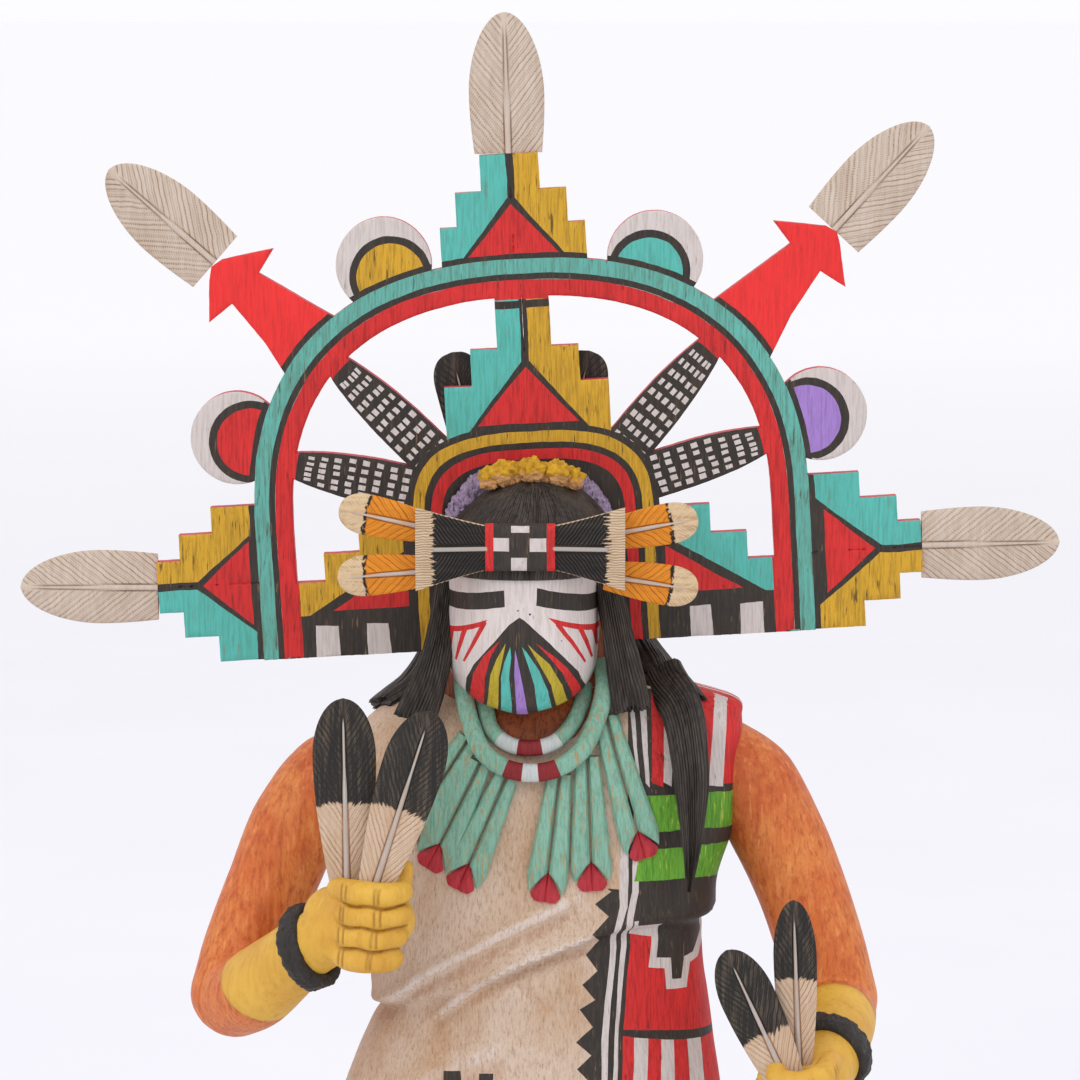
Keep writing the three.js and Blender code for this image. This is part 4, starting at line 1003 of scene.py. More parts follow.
def mask_layers():
    """The painted face, in distance round the head and height."""
    g = Layers(0.1, 0.5)
    g.put(box(-MASK_SEAM, 248.3, MASK_SEAM, 303.6), BLACK, "solid", 0.0)
    g.put(box(-44, 247, 44, 286), MASK_WHITE)

    def put(points, colour, wobble=0.13):
        g.put([on_head(*p) for p in densify(points, 0.6)], colour, "paint", wobble)

    g.put([(-44, 283), (-18, 284.4), (0, 285), (16, 284.2), (44, 282.2), (44, 290), (-44, 290)], BLACK)
    put([(-26, 276.7), (-22, 277.4), (-9.0, 279.6), (-8.8, 275.5), (-22, 273.3), (-26, 272.6)], BLACK)
    put([(-1.0, 280.2), (14.1, 276.4), (19, 275.0), (19, 271), (14.1, 272.3), (-1.2, 275.9)], BLACK)
    for x, z, r in ((-5.6, 274.7, 0.22), (-2.7, 273.8, 0.28), (5.0, 266.9, 0.16), (-13.5, 284, 0.2)):
        put(disc(x, z, r, 8), BLACK, 0.03)
    put([(-5.2, 273.1), (-7.8, 271.2), (-10.5, 267.9), (-13.6, 264.3), (-16.5, 260.6), (-18.2, 256.7),
         (-18.8, 250), (-18.2, 246), (-8, 242), (4, 242), (10.6, 246), (11.6, 250), (10.8, 254.1),
         (9.1, 258.5), (5.9, 262.4), (2.2, 266.4), (-1.2, 269.8), (-4.1, 272.5)], BLACK)
    rays = [
        (RED, [(-10.0, 267.3), (-14.0, 263.1), (-16.6, 258.4), (-17.7, 250.4), (-17, 246), (-14.5, 245.7),
               (-13.9, 252), (-13.6, 257.7), (-12.3, 263.0)]),
        (OLIVE, [(-8.6, 266.7), (-10.9, 262.5), (-12.3, 258.6), (-13.2, 250.4), (-13.0, 244.1),
                 (-10.6, 244.1), (-10.4, 251), (-10.3, 258.1), (-9.4, 262.6)]),
        (TURQUOISE, [(-7.5, 265.8), (-8.9, 262.0), (-9.7, 258.2), (-9.8, 244), (-6.9, 244), (-7.2, 252),
                     (-7.7, 258.3), (-7.2, 263.3)]),
        (LAVENDER, [(-6.3, 265.2), (-6.5, 259.0), (-6.0, 250), (-5.7, 243), (-2.2, 243), (-3.4, 250),
                    (-4.3, 255.5), (-5.5, 261.5)]),
        (TURQUOISE, [(-4.7, 265.9), (-3.2, 261.5), (-1.6, 256.4), (-0.9, 250), (-0.2, 243), (3.6, 243),
                     (2.8, 249), (1.6, 254.9), (-0.4, 259.9), (-3.5, 264.6)]),
        (OLIVE, [(-3.2, 266.5), (-0.7, 262.1), (2.4, 256.2), (3.8, 250), (4.6, 244), (7.4, 245), (6.6, 250.4),
                 (5.2, 255.8), (2.1, 261.3)]),
        (RED, [(-1.3, 266.8), (2.1, 262.9), (5.2, 259.0), (7.4, 253.7), (8.4, 246), (10.2, 246.6),
               (10.2, 251), (9.4, 255.1), (6.4, 260.1), (3.0, 263.4)]),
    ]
    for colour, points in rays:
        put(points, colour, 0.1)
    put([(-24.5, 268.0), (-22.8, 268.3), (-13.0, 272.2), (-14.2, 270.5), (-22.8, 266.9),
         (-24.5, 266.7)], RED, 0.08)
    # Three strokes hang from each cheek's line, thinning downwards.
    strokes = [
        [(-13.7, 271.6), (-16.3, 266.4), (-18.9, 260.9)], [(-18.6, 269.2), (-19.8, 265), (-20.9, 260.6)],
        [(-21.9, 267.8), (-22.5, 263.5), (-22.9, 260.2)], [(3.9, 271.2), (7.6, 266.2), (10.9, 260.3)],
        [(9.5, 269.6), (11.2, 265.4), (12.6, 260.8)], [(13.0, 268.0), (13.6, 265.5), (14.0, 262.8)],
    ]
    for line in strokes:
        put(stroke(line, np.array([[1.15], [0.95], [0.5]])), RED, 0.06)
    put([(1.6, 272.9), (14.2, 268.6), (16.5, 268), (16.5, 266.4), (14.2, 267.1), (3.6, 271.0)], RED, 0.08)
    return g


def mask_point(q):
    p = shell(HEAD, HEAD_POWER, q[:, 0] / CHEEK, q[:, 1])
    away = unit(np.stack([(p[:, 0] - HEAD_X) / 380, p[:, 1] / 1000, 0 * p[:, 0]], -1))
    return p + away * (0.12 * rumple(p, 7.0, 2.0))[:, None]


v, f, names, index = cover(mask_layers(), 0.8, (-MASK_SEAM + 0.4, 248.7, MASK_SEAM - 0.4, 303.2), mask_point)
add_body("case_mask", v, f, names, index=index)


def hair_cap():
    """Hair over the head, combed down from the crown, cut straight above the brow."""
    rows = 64
    t = np.linspace(0, 1, rows)[:, None]
    angle = around(640, rows)
    foot = 281.1 + 1.2 * np.cos(angle)
    z = foot + (304.2 - foot) * np.sin(np.minimum(t * 1.02, 1) * math.pi / 2) ** 0.9
    grown = [(a, b - 0.6, c + 0.8, d + 1.3, e + 1.2) for a, b, c, d, e in HEAD[:-3]]
    grown += [(298.5, -16.4, 12.9, 26.2, 9), (301.6, -12.2, 8.6, 21.5, 5), (303.6, -7.4, 3.6, 15, 1.0),
              (304.2, -3.4, -1.8, 9.5, -5.5)]
    p = shell(grown, HEAD_POWER, angle, z)
    lines = angle * 27 + 0.5 * rumple(np.stack([np.sin(angle) * 4, np.cos(angle) * 4, z / 14], -1), 1.0, 3.0)
    cut = groove(lines, 1.0, 0.2) * (0.4 + 0.6 * np.abs(np.sin(angle * 33 + 1)))
    cut = np.maximum(cut, 0.8 * groove(lines * 1.73 + 0.4, 1.0, 0.16) * (rumple(p, 6.0, 8.0) > -0.15))
    centre = np.array([-2.4, -8, 288])
    p += unit(p - centre) * (0.25 - 0.3 * cut + 0.25 * rumple(p, 9.0, 5.0))[..., None]
    return *loft(p), np.r_[np.clip(cut, 0, 1).ravel(), 1, 0.5]


LOCK_PITCH = 0.62  # between the cuts in a lock of hair


def section(way, facing, sides, power):
    """Along a line: the directions across and out of it, and a rounded square's angles and outline."""
    across = unit(np.cross(way, facing))
    out = unit(np.cross(across, way))
    a = 2 * math.pi * (np.arange(sides) + 0.5)[None, :] / sides
    c, s = np.cos(a), np.sin(a)
    reach = blunt(c, s, power)
    return across, out, a, c * reach, s * reach


def lock(points, wide, deep, over=False, seed=0.0, ragged=1.4):
    """A flattened lock of hair with lengthwise cuts and an uneven cut end."""
    rows = 96
    place, way = route(points, rows)
    t = np.linspace(0, 1, rows)
    across, out, a, c, s = section(way, [0.0, 1.0 if over else -1.0, 0.0], 156, 2.6)
    u, v = (out, across) if over else (across, out)
    half, thick = spread(wide, t)[:, None], spread(deep, t)[:, None]
    side, lift = c * half, s * thick
    strand = side / LOCK_PITCH * half.mean() / half
    drift = rumple(np.stack([a * 1.2 + 0 * t[:, None], 3.0 * t[:, None] + 0 * a, 0 * side], -1), 1.0, seed)
    cut = groove(strand + 0.35 * drift + seed, 1.0, 0.2)
    fine = groove(strand * 2.37 + 0.6 * drift, 1.0, 0.2)
    height = 0.34 * drift - 0.3 * cut - 0.14 * fine
    grow = 1 + height / np.maximum(np.hypot(side, lift), 1.2)
    p = place[:, None] + u[:, None] * (side * grow)[..., None] + v[:, None] * (lift * grow)[..., None]
    tail = np.clip((t - 0.93) / 0.07, 0, 1)[:, None]
    p += way[:, None] * (ragged * tail * (0.5 * np.sin(strand * 5.1 + seed) + 0.6 * drift))[..., None]
    return *loft(p), np.r_[np.clip(cut + 0.5 * fine, 0, 1).ravel(), 0.6, 0.8]


# Locks of hair: centre line, with half the width and half the thickness spread along it.
LOCKS = {
    "left_side_lock": dict(
        points=[(-20.5, -7, 292), (-22.6, -10, 279), (-24.5, -13, 266), (-27.5, -16, 254.5),
                (-31.2, -18.5, 245.4)],
        wide=[2.8, 3.2, 3.6, 4.3, 5.3], deep=[3, 3.2, 3.2, 3, 2.4], seed=1.0),
    "left_shoulder_hair": dict(
        points=[(-15, 10.5, 280), (-20, 12, 268), (-26, 13.2, 258), (-32, 5.5, 251), (-40.5, 0, 246)],
        wide=[5, 5.6, 6.2, 8.6, 6.6], deep=[4, 5, 4.4, 3.2, 1.8], over=True, seed=2.0, ragged=0.5),
    "right_side_lock": dict(
        points=[(13.5, -8, 292), (16.5, -11, 279), (19, -14, 266), (21, -16.8, 256), (22.6, -18.4, 248.2)],
        wide=[2.8, 3.3, 3.8, 4.3, 4.9], deep=[3, 3.2, 3.2, 3, 2.6], seed=3.0),
    "right_shoulder_hair": dict(
        points=[(9, 10.5, 280), (17, 11.8, 270), (24, 12.4, 260), (31, 3, 252.5), (37.5, -10, 248)],
        wide=[5, 5.6, 6.2, 8.4, 5.5], deep=[4, 5, 4.6, 4.2, 3], over=True, seed=4.0),
    "right_chest_lock": dict(
        points=[(30, -4, 254), (34.8, -16, 247), (36.6, -21.5, 237), (37.2, -24.4, 222), (37, -26, 212),
                (36.4, -27, 204)],
        wide=[6, 5.4, 4.8, 4.1, 2.5, 0.5], deep=[3.4, 3.2, 3, 2.6, 2, 0.6], seed=5.0, ragged=0.5),
}
BACK_HAIR = [
    (196, -15, 15, 18, 31.5), (202, -19, 19, 17, 32.5), (226, -22.5, 20.5, 13, 30.5),
    (246, -24, 19, 5.2, 24.5), (262, -23.2, 14.8, 5.2, 19.5), (282, -21.2, 12.8, 5.2, 17.5),
    (296, -16.2, 7.8, 5.2, 13.5),
]


def back_hair():
    """The long hair down the back, with lengthwise cuts and an uneven end."""
    rows = 170
    angle = around(300, rows)
    z = np.linspace(BACK_HAIR[0][0], BACK_HAIR[-1][0], rows)[:, None] + 0 * angle
    p = shell(BACK_HAIR, 2.6, angle, z)
    drift = rumple(np.stack([np.sin(angle) * 3, np.cos(angle) * 3, z / 30], -1), 1.0, 6.0)
    lines = p[..., 0] / 1.05 + 0.5 * drift
    cut = groove(lines, 1.0, 0.2)
    fine = groove(lines * 2.3, 1.0, 0.2)
    p[..., 1] += np.where(np.cos(angle) < 0, 1, -1) * (0.4 * drift - 0.42 * cut - 0.16 * fine)
    tail = np.clip((202 - z) / 6, 0, 1)
    p[..., 2] -= tail * (1.2 * np.sin(lines * 3.3) + 1.5 * drift)
    return *loft(p), np.r_[np.clip(cut + 0.5 * fine, 0, 1).ravel(), 0.6, 0.4]


hair = [("crown_hair", hair_cap())] + [(name, lock(**spec)) for name, spec in LOCKS.items()]
for name, (v, f, cut) in hair + [("long_back_hair", back_hair())]:
    add_body(name, v, f, HAIR, fields={"cut": cut, "dip": 0 * cut})

NECK_LEVELS = [(240, -19, 15, 17, 12), (246, -25, 17.5, 15, 12), (256, -26, 18, 14, 11),
               (266, -24.6, 17, 13, 10), (286, -22, 13, 12, 9)]


def neck():
    rows = 60
    angle = around(120, rows)
    p = shell(NECK_LEVELS, 2.4, angle, np.linspace(240, 286, rows)[:, None] + 0 * angle)
    cut = groove(angle * 11 + 0.3 * rumple(p, 9.0, 1.0), 1.0)
    return loft(p + unit(p * [1, 1, 0]) * (0.25 * rumple(p, 5.0, 3.0) - 0.25 * cut)[..., None])


add_body("bare_neck", *neck(), NECK)

# ---------------------------------------------------------------- arms and hands

# Radii along the arm from the shoulder, and from the elbow to the wrist.
UPPER_ARM = [10, 12, 11.8, 11.3, 11.2, 11]
FOREARM = [10.6, 10.2, 9.2, 8, 7.4]
# Each arm: centre lines, the fist's place with its turn, roll and pitch, the side its fingertips point to,
# the thumb, the bracelet's middle and axis, and the yellow paint: where it starts along the forearm, the
# height above which it starts later and by how much, the same below a height, and its border's width.
LEFT_ARM = {
    "upper": [(-38, 4, 232), (-52.5, 3, 226), (-62, 1, 214), (-68, 0, 200), (-74.2, -2, 184),
              (-77.6, -5, 172.8)],
    "fore": [(-77, -6, 172.2), (-71.4, -16, 176.6), (-64, -26, 184.4), (-56, -36, 193), (-49, -42, 198)],
    "fist": ((-42.2, -46.5, 201.4), -8, 3, 0), "side": 1,
    "thumb": [(3, 6.5, 2), (7.4, 5.6, 8), (8.2, 5.2, 12.6)],
    "ring": ((-56.6, -34.5, 192), (0.85, -0.4, 0.34)),
    "paint": (14.0, 184.0, 0.9, 178.0, 0.35, 1.6),
}
RIGHT_ARM = {
    "upper": [(42, 4, 234), (52, 3, 226), (59.6, 2, 213), (65.4, 0, 200), (70.8, -2, 184), (74.2, -5, 171)],
    "fore": [(74.2, -6, 170), (73.6, -15, 168), (72.4, -25, 166.2), (70.2, -37, 164.2), (67.4, -46, 162.4)],
    "fist": ((63.4, -50.2, 159.2), 30, -8, 14), "side": -1,
    "thumb": [(3, 6.5, -2), (7, 5.6, 2), (8, 5, 5)],
    "ring": ((70.6, -34, 164.6), (-0.36, -0.9, -0.2)),
    "paint": (9.0, 300.0, 0.0, 0.0, 0.0, 4.0),
}


def limb(points, radii, rows=40, sides=32):
    """A limb with round ends along a smooth line."""
    place, way = route(points, rows)
    r = spread(radii, np.linspace(0, 1, rows))
    # Each ring's frame is carried on from the one before, so the limb never twists.
    up = [unit(np.cross(way[0], np.eye(3)[np.argmin(np.abs(way[0]))]))]
    for w in way[1:]:
        up.append(unit(up[-1] - w * (up[-1] @ w)))
    side = unit(np.cross(way, up))
    a = 2 * math.pi * np.arange(sides)[:, None] / sides
    domes = [math.sin((k + 0.5) / 8 * math.pi / 2) for k in range(8)]
    levels = [(0, q, -1) for q in domes] + [(i, 1.0, 0) for i in range(rows)]
    levels += [(rows - 1, q, 1) for q in domes[::-1]]
    return loft([place[i] + end * way[i] * r[i] * math.sqrt(1 - q * q)
                 + r[i] * q * (np.cos(a) * up[i] + np.sin(a) * side[i]) for i, q, end in levels])


FINGER = {"radius": 2.95, "pitch": 5.5, "reach": 9.6}


def finger(i):
    """The height of a finger's middle and the reach of its bend, in the level fist."""
    return (1.5 - i) * FINGER["pitch"], FINGER["reach"] - 0.8 * abs(i - 0.6)


def fist(side, thumb):
    """Palm, four bent fingers and the thumb, level, with the fingertips towards side times X."""
    bent = lambda points, radii: limb([(side * x, y, z) for x, y, z in points], radii)
    r = FINGER["radius"]
    parts = [bent([(-9, 6, -1), (-4, 4, 0), (1, 3.5, 0), (4, 3, 0)], [7.4, 8.8, 8.8, 7.4])]
    for i in range(4):
        z, tip = finger(i)
        line = [(-7, -1, z * 0.94), (-2, -5.4, z), (tip - 3.6, -5.7, z), (tip - 0.4, -1.6, z),
                (tip - 2, 1.6, z)]
        parts.append(bent(line, [r * 0.95, r * 1.02, r * 1.02, r * 0.95, r * 0.88]))
    parts.append(bent(thumb, [3.2, 2.5, 2.0]))
    return parts


def knuckles(local):
    """How deep the carver's two short cuts at each finger joint go at a point of the level fist."""
    x, y, z = local.T
    deep = np.zeros(len(x))
    reached = np.clip((y + 12) / 1.0, 0, 1) * np.clip(-y / 1.0, 0, 1)
    for i in range(4):
        mid, tip = finger(i)
        for place in (-5.4, -4.2, tip - 5.6, tip - 4.4):
            bend = place + 0.25 * math.sin(i * 2.1 + place)
            deep += np.exp(-((x - bend) / 0.34) ** 2) * np.clip(1.2 - ((z - mid) / 2.3) ** 4, 0, 1) * reached
    # The line between each finger and the next, from the knuckles to the fingertips.
    for i in range(3):
        line = (1 - i) * FINGER["pitch"] + 0.25 * np.sin(x * 0.8 + i)
        deep += 1.5 * np.exp(-((z - line) / 0.42) ** 2) * np.clip((x + 7) / 3, 0, 1) * reached
    return deep


def along_forearm(verts, spec):
    """How far past the start of the yellow paint each point is; the upper arm is always before it."""
    fore = route(spec["fore"], 60)[0]
    step = np.linalg.norm(fore[1] - fore[0])
    past_hand = fore[-1] + (fore[-1] - fore[-8])
    to_upper, to_fore = [np.array([np.linalg.norm(verts - p, axis=1) for p in line])
                         for line in (route(spec["upper"], 60)[0], [*fore, past_hand])]
    start, high, rise, low, fall, _ = spec["paint"]
    start = start + rise * np.clip(verts[:, 2] - high, 0, None) + fall * np.clip(low - verts[:, 2], 0, None)
    return np.minimum(to_fore.argmin(0) * step - start, (to_upper.min(0) - to_fore.min(0)) * 1.5 + 6)


def arm(spec):
    at, turn, roll, pitch = spec["fist"]
    parts = [limb(spec["upper"], UPPER_ARM), limb(spec["fore"], FOREARM)]
    parts += [(turned(v, at, roll, pitch, turn), f) for v, f in fist(spec["side"], spec["thumb"])]
    verts, faces = fused(parts, 0.52, 4)
    spin = turned(np.eye(3), (0, 0, 0), roll, pitch, turn).T
    local = (verts - np.array(at)) @ spin * [spec["side"], 1, 1]
    deep = knuckles(local)
    centre = np.array(at) + spin @ np.array([0, 2, 0])
    verts = verts - unit(verts - centre) * (0.42 * deep)[:, None]
    verts = verts + unit(verts - centre) * (0.12 * rumple(verts, 8.0, 1.0))[:, None]
    far = along_forearm(verts, spec) + 0.5 * rumple(verts, 9.0, 6.0)
    return verts, faces, {"dip": np.clip(far / spec["paint"][-1] + 0.5, 0, 1), "cut": np.clip(deep, 0, 1.2)}


def arm_paint():
    """Orange-brown stain that gives way to yellow ochre on the forearm and the hand."""
    m = Nodes("arm_stain", 0.5)
    streak = m.noise(620, (1, 1, 0.1), 5.0, 0.68, 1.0)
    blotch = m.noise(75, (1, 1, 0.7), 5.0, 0.7, 4.0)
    fleck = m.noise(820, (1, 1, 0.45), 4.0, 0.7, 8.0)
    height = m.node("SeparateXYZ", {0: m.place}).outputs["Z"]
    red = m.over(rgb("#CE6C33"), height, 0.205, 0.240, 0.6, "#AE4422")
    red = m.over(red, blotch, 0.42, 0.62, 0.7, "#DB8A48")
    red = m.over(red, fleck, 0.5, 0.66, 0.6, "#A6401F")
    red = m.over(red, streak, 0.5, 0.66, 0.5, "#9A3D1C")
    red = m.over(red, streak, 0.44, 0.3, 0.55, "#EBA35E")
    yellow = m.over(rgb("#DDAF45"), blotch, 0.4, 0.65, 0.7, "#C99034")
    yellow = m.over(yellow, streak, 0.5, 0.72, 0.5, "#B27F2A")
    # Painted shade in the knuckle and finger cuts (field "cut").
    yellow = m.over(yellow, m.field("cut"), 0.2, 1.0, 0.75, "#8A5A1E")
    border = m.times(m.between(m.field("dip"), 0.1, 0.5, 0.5, 0.95), 0.35)
    shade = m.mix(m.ramp(m.field("dip"), 0.35, 0.65), red, yellow)
    return m.finish(m.mix(border, shade, rgb("#8A5A20")), m.plus(streak, m.times(blotch, 0.5)), 0.16)


def bracelet(at, facing):
    """A rough black band round the wrist."""
    place, axis = np.array(at), unit(np.array(facing, float))
    side = unit(np.cross(axis, [0.0, 0.0, 1.0]))
    up = np.cross(side, axis)
    m, n = 220, 40
    a = np.linspace(0, 2 * math.pi, m, endpoint=False)[:, None]
    b = np.linspace(0, 2 * math.pi, n, endpoint=False)[None, :]
    ring = 8.8 + 1.8 * np.sign(np.cos(b)) * np.abs(np.cos(b)) ** 0.7 + 0 * a
    along = (3.1 + 0.2 * np.sin(3 * a)) * np.sign(np.sin(b)) * np.abs(np.sin(b)) ** 0.7
    p = place + (ring * np.cos(a))[..., None] * side + (ring * np.sin(a))[..., None] * up
    p = p + along[..., None] * axis
    p = p + unit(p - place) * (0.4 * rumple(p, 2.2, 7.0, 3) + 0.25 * rumple(p, 6.0, 2.0))[..., None]
    return p.reshape(-1, 3), grid(m, n, closed=True)


ARM_STAIN = arm_paint()
for side, spec in (("left", LEFT_ARM), ("right", RIGHT_ARM)):
    v, f, fields = arm(spec)
    add_body(side + "_arm", v, f, ARM_STAIN, fields=fields, crease=70)
    add_body(side + "_bracelet", *bracelet(*spec["ring"]), BRACELET)

# ---------------------------------------------------------------- the necklace

STRANDS = [
    ([(-19.5, -8, 257), (-19, -15, 251), (-17.2, -19, 244), (-14.2, -22, 238), (-8.5, -24, 234.2),
      (-2.5, -24.5, 233.2), (3.5, -24.5, 234.2), (9.5, -23, 238), (13.5, -20, 245), (15.5, -16, 252),
      (15.5, -8, 258)], 2.3, 1.6,
     [(-8.9, BEAD_RED), (-4.9, BEAD_WHITE), (-0.8, BEAD_RED), (3.9, None)]),
    ([(-15, -8, 254), (-13.8, -14.5, 248), (-12, -18, 242.6), (-8, -20.5, 239.6), (-2.7, -21.5, 238.8),
      (2.6, -21, 239.8), (7.1, -18.5, 243.4), (10, -14.5, 248.5), (11, -8, 254)], 2.0, 1.5,
     [(-10.2, BEAD_WHITE), (-5.7, BEAD_RED), (0.0, BEAD_WHITE), (4.1, None)]),
]


def strand(points, wide, deep, beads):
    """A strand of the necklace, with beads in front between the given values of X."""
    rows, sides = 260, 28
    place, way = route(points, rows)
    across, out, _, c, s = section(way, [0.0, -1.0, 0.0], sides, 2.5)
    p = place[:, None] + across[:, None] * (c * wide)[..., None] + out[:, None] * (s * deep)[..., None]
    p += out[:, None] * (0.16 * rumple(p, 3.0, 5.0))[..., None]
    index, materials = [], [NECKLACE, BEAD_RED, BEAD_WHITE]
    for x, _, z in place[:-1]:
        colour = NECKLACE
        for (start, bead), (end, _) in zip(beads, beads[1:]):
            if z < 243.2 and start <= x < end:
                colour = bead
        index += [materials.index(colour)] * sides
    return *loft(p), materials, index + [0] * (2 * sides)


for name, spec in zip(("outer_strand", "inner_strand"), STRANDS):
    v, f, names, index = strand(*spec)
    add_body(name, v, f, names, index=index, crease=50)

# Pendant pairs: top and tip of each pair of long tabs.
PENDANTS = [
    ((-17.8, 240.5), (-34.4, 215.6)), ((-15, 235), (-28, 208.6)), ((-8.2, 232.5), (-20.4, 204.0)),
    ((4.6, 232.5), (0.9, 201.6)), ((11.4, 236.5), (12.5, 204.2)), ((16, 246), (25.6, 211.6)),
]


def tab(start, axis, side, rows, profile, lift=0.0):
    """A faceted strip on the chest: rows of (distance, left edge, right edge, height)."""
    rings = np.array([[(*(start + axis * far + side * (left + (right - left) * u)),
                        lift + out * tall if out > 0 else -1.6) for u, out in profile]
                      for far, left, right, tall in rows])
    x, z, height = np.moveaxis(rings, -1, 0)
    angle = [shell_angle(ROBE, ROBE_POWER, a, b) for a, b in zip(x.ravel(), z.ravel())]
    place = robe_point(np.reshape(angle, x.shape), z)
    place[..., 1] -= height
    return loft(place)


def pendants():
    """Pairs of long bevelled tabs, each pair with a red fan at its foot."""
    parts, index = [], []
    bevel = [(0.02, 0.55), (0.16, 0.92), (0.5, 1.0), (0.84, 0.92), (0.98, 0.55), (0.98, -1), (0.02, -1)]
    fan = [(0.0, 0.5), (0.25, 0.85), (0.46, 0.62), (0.5, 0.45), (0.54, 0.62), (0.75, 0.85), (1.0, 0.5),
           (1.0, -1), (0.0, -1)]
    for k, (top, tip) in enumerate(PENDANTS):
        start, length, axis, side = axes(top, tip)
        body = length - 6.6
        for sign in (-1, 1):
            rows = []
            for t in np.linspace(0, 1, 26):
                wobble = 0.12 * noise.noise(Vector((t * body / 4, k * 3.1, sign)))
                rows.append((t * body, sign * 0.2, sign * (3.0 + 2.1 * t + wobble), 2.5 - 0.2 * t + wobble))
            for t in np.linspace(0.1, 1, 8):
                inner, outer = 0.2 + 3.9 * t ** 0.9, 5.1 - 0.9 * t ** 2
                rows.append((body + 4.6 * t, sign * inner, sign * outer, 2.3 - 1.3 * t))
            parts.append(tab(start, axis, side, rows, bevel))
            index += [0] * len(parts[-1][1])
        rows = []
        for t in np.linspace(0, 1, 16):
            half = 0.5 + 4.3 * t if t < 0.75 else 3.72 - 9.5 * (t - 0.75) ** 1.5
            rows.append((body + 6.9 * t, -half, half, 2.2 - 0.7 * t))
        parts.append(tab(start, axis, side, rows, fan, -0.25))
        index += [1] * len(parts[-1][1])
    return *merge(parts), [NECKLACE, TIP_RED], index


v, f, names, index = pendants()
add_body("necklace_pendants", v, f, names, index=index, crease=24)

# ---------------------------------------------------------------- brow bow, band and flowers


def wing(sign):
    """One flared wing of the bow, its fibres cut slantwise away from the rachis."""
    rows, sides = 150, 150
    start, reach = BOW["block"] - 1.0, BOW["half"]
    t = np.linspace(0, 1, rows)[:, None]
    u = np.linspace(-1, 1, sides)[None, :]
    x = start + (reach - start) * t + 0 * u
    z = (BOW["waist"] + (BOW["end"] - BOW["waist"]) * t ** 1.15) * u
    high = np.abs(z)
    fringe = 1.3 * rumple(np.stack([x / 9, z, 0 * x], -1), 0.45, sign + 6.0)
    tip = np.clip((x - (reach - 4.3) + fringe) / 0.5 + 0.5, 0, 1)
    plain = 1 - tip
    flat = np.stack([x, z, 0 * x], -1)
    slant = x - 0.72 * high + 0.35 * rumple(flat, 5.0, sign)
    hairs = groove(z + 0.2 * rumple(flat, 2.0, sign + 3), 0.62, 0.24)
    cut = groove(slant, 0.95, 0.22) * np.clip((high - 0.7) / 0.6, 0, 1) * plain + 0.7 * hairs * tip
    face = -(1.5 + 1.2 * (1 - np.abs(u) ** 2.4)) + 0.34 * cut - 0.45 * (np.exp(-(z / 0.6) ** 4) * plain)
    face = face + 0.35 * np.exp(-((high - 0.85) / 0.25) ** 2) * plain
    across, level = BOW["x"] + sign * x, BOW["z"] - 0.3 * t
    front = np.stack([across, BOW["front"] + 1.8 + face, level + z], -1)
    rear = np.stack([across, 0 * x + BOW["front"] + 3.6, level + z * 0.97], -1)[:, -2:0:-1]
    quill = np.clip((0.5 - high) / 0.2 + 0.5, 0, 1) * plain
    black = plain * np.clip((1 - np.abs(u)) / 0.03, 0, 1)
    whole = lambda face: np.r_[np.concatenate([face, 0 * rear[..., 0]], 1).ravel(), 0, 0]
    fields = {"cut": whole(cut), "dip": whole(black), "rib": whole(quill)}
    return *loft(np.concatenate([front, rear], 1)), fields


for sign, name in ((-1, "left"), (1, "right")):
    v, f, fields = wing(sign)
    add("brow_bow_" + name + "_wing", v, f, BOW_PAINT, "bow_paint", "brow_bow", fields=fields, crease=50)


def bow_block():
    """The block in the bow's middle, with pale squares on black between two red bars."""
    half, tall = BOW["block"] - 0.4, BOW["tall"] - 0.35
    g = Layers(0.09, 0.5)
    g.put(box(-half, -tall, half, tall), BLACK, "solid", 0.03)
    for square in ((-2.2, 3.9, 2.2, 5.45), (-6.7, -0.6, -2.7, 2.6), (2.3, -0.8, 6.3, 2.5),
                   (-2.2, -5.4, 1.6, -2.2)):
        g.put(box(*square), WHITE)
    for sign in (-1, 1):
        g.put(box(sign * (half - 2.0), -7, sign * (half + 1), 7), RED)
    flat, faces, colours = g.triangles(0.7, (-half + 0.2, -tall + 0.2, half - 0.2, tall - 0.2))
    names, index = paints(colours)
    x, z = flat.T
    bar = np.exp(-((np.abs(x) - half + 0.9) / 0.8) ** 4)
    swell = np.sqrt(np.clip(1 - (np.abs(z) / (tall + 0.15)) ** 5, 0.02, 1))
    uneven = np.array([noise.noise(Vector((a / 2, b / 2, 0))) for a, b in flat])
    proud = (1.5 + 0.55 * bar) * swell + 0.1 * uneven
    bm = sheet(np.c_[BOW["x"] + x, BOW["front"] + 0.6 - proud, BOW["z"] + z], faces, index)
    walls(bm, rim(bm), lambda y: BOW["front"] + 4)
    bmesh.ops.holes_fill(bm, edges=rim(bm), sides=0)
    points, faces, index = unpack(bm)
    add("brow_bow_block", points, faces, names, "bow_paint", "brow_bow", index, crease=50)


bow_block()

HEADBAND = {"x": -2.9, "half": 18.6, "rise": 19.2, "spring": 9.0, "power": 2.6}


def band_roll():
    """The woolly purple roll that stands over the hair."""
    place, way = route([(x, -3.4, z + 276) for x, z in arch(HEADBAND, 0, 40)], 240)
    out = unit(np.cross(way, [0.0, 1.0, 0.0]))
    b = 2 * math.pi * np.arange(40)[None, :] / 40
    p = place[:, None] + out[:, None] * (3.3 * np.cos(b))[..., None]
    p = p + np.array([0, 1.0, 0]) * (3.0 * np.sin(b))[..., None]
    rough = 0.6 * rumple(p, 1.2, 3.0, 3) - 0.45 * groove(rumple(p, 2.4, 9.0, 2) * 2.6, 1.0, 0.18)
    return loft(p + unit(p - place[:, None]) * rough[..., None])


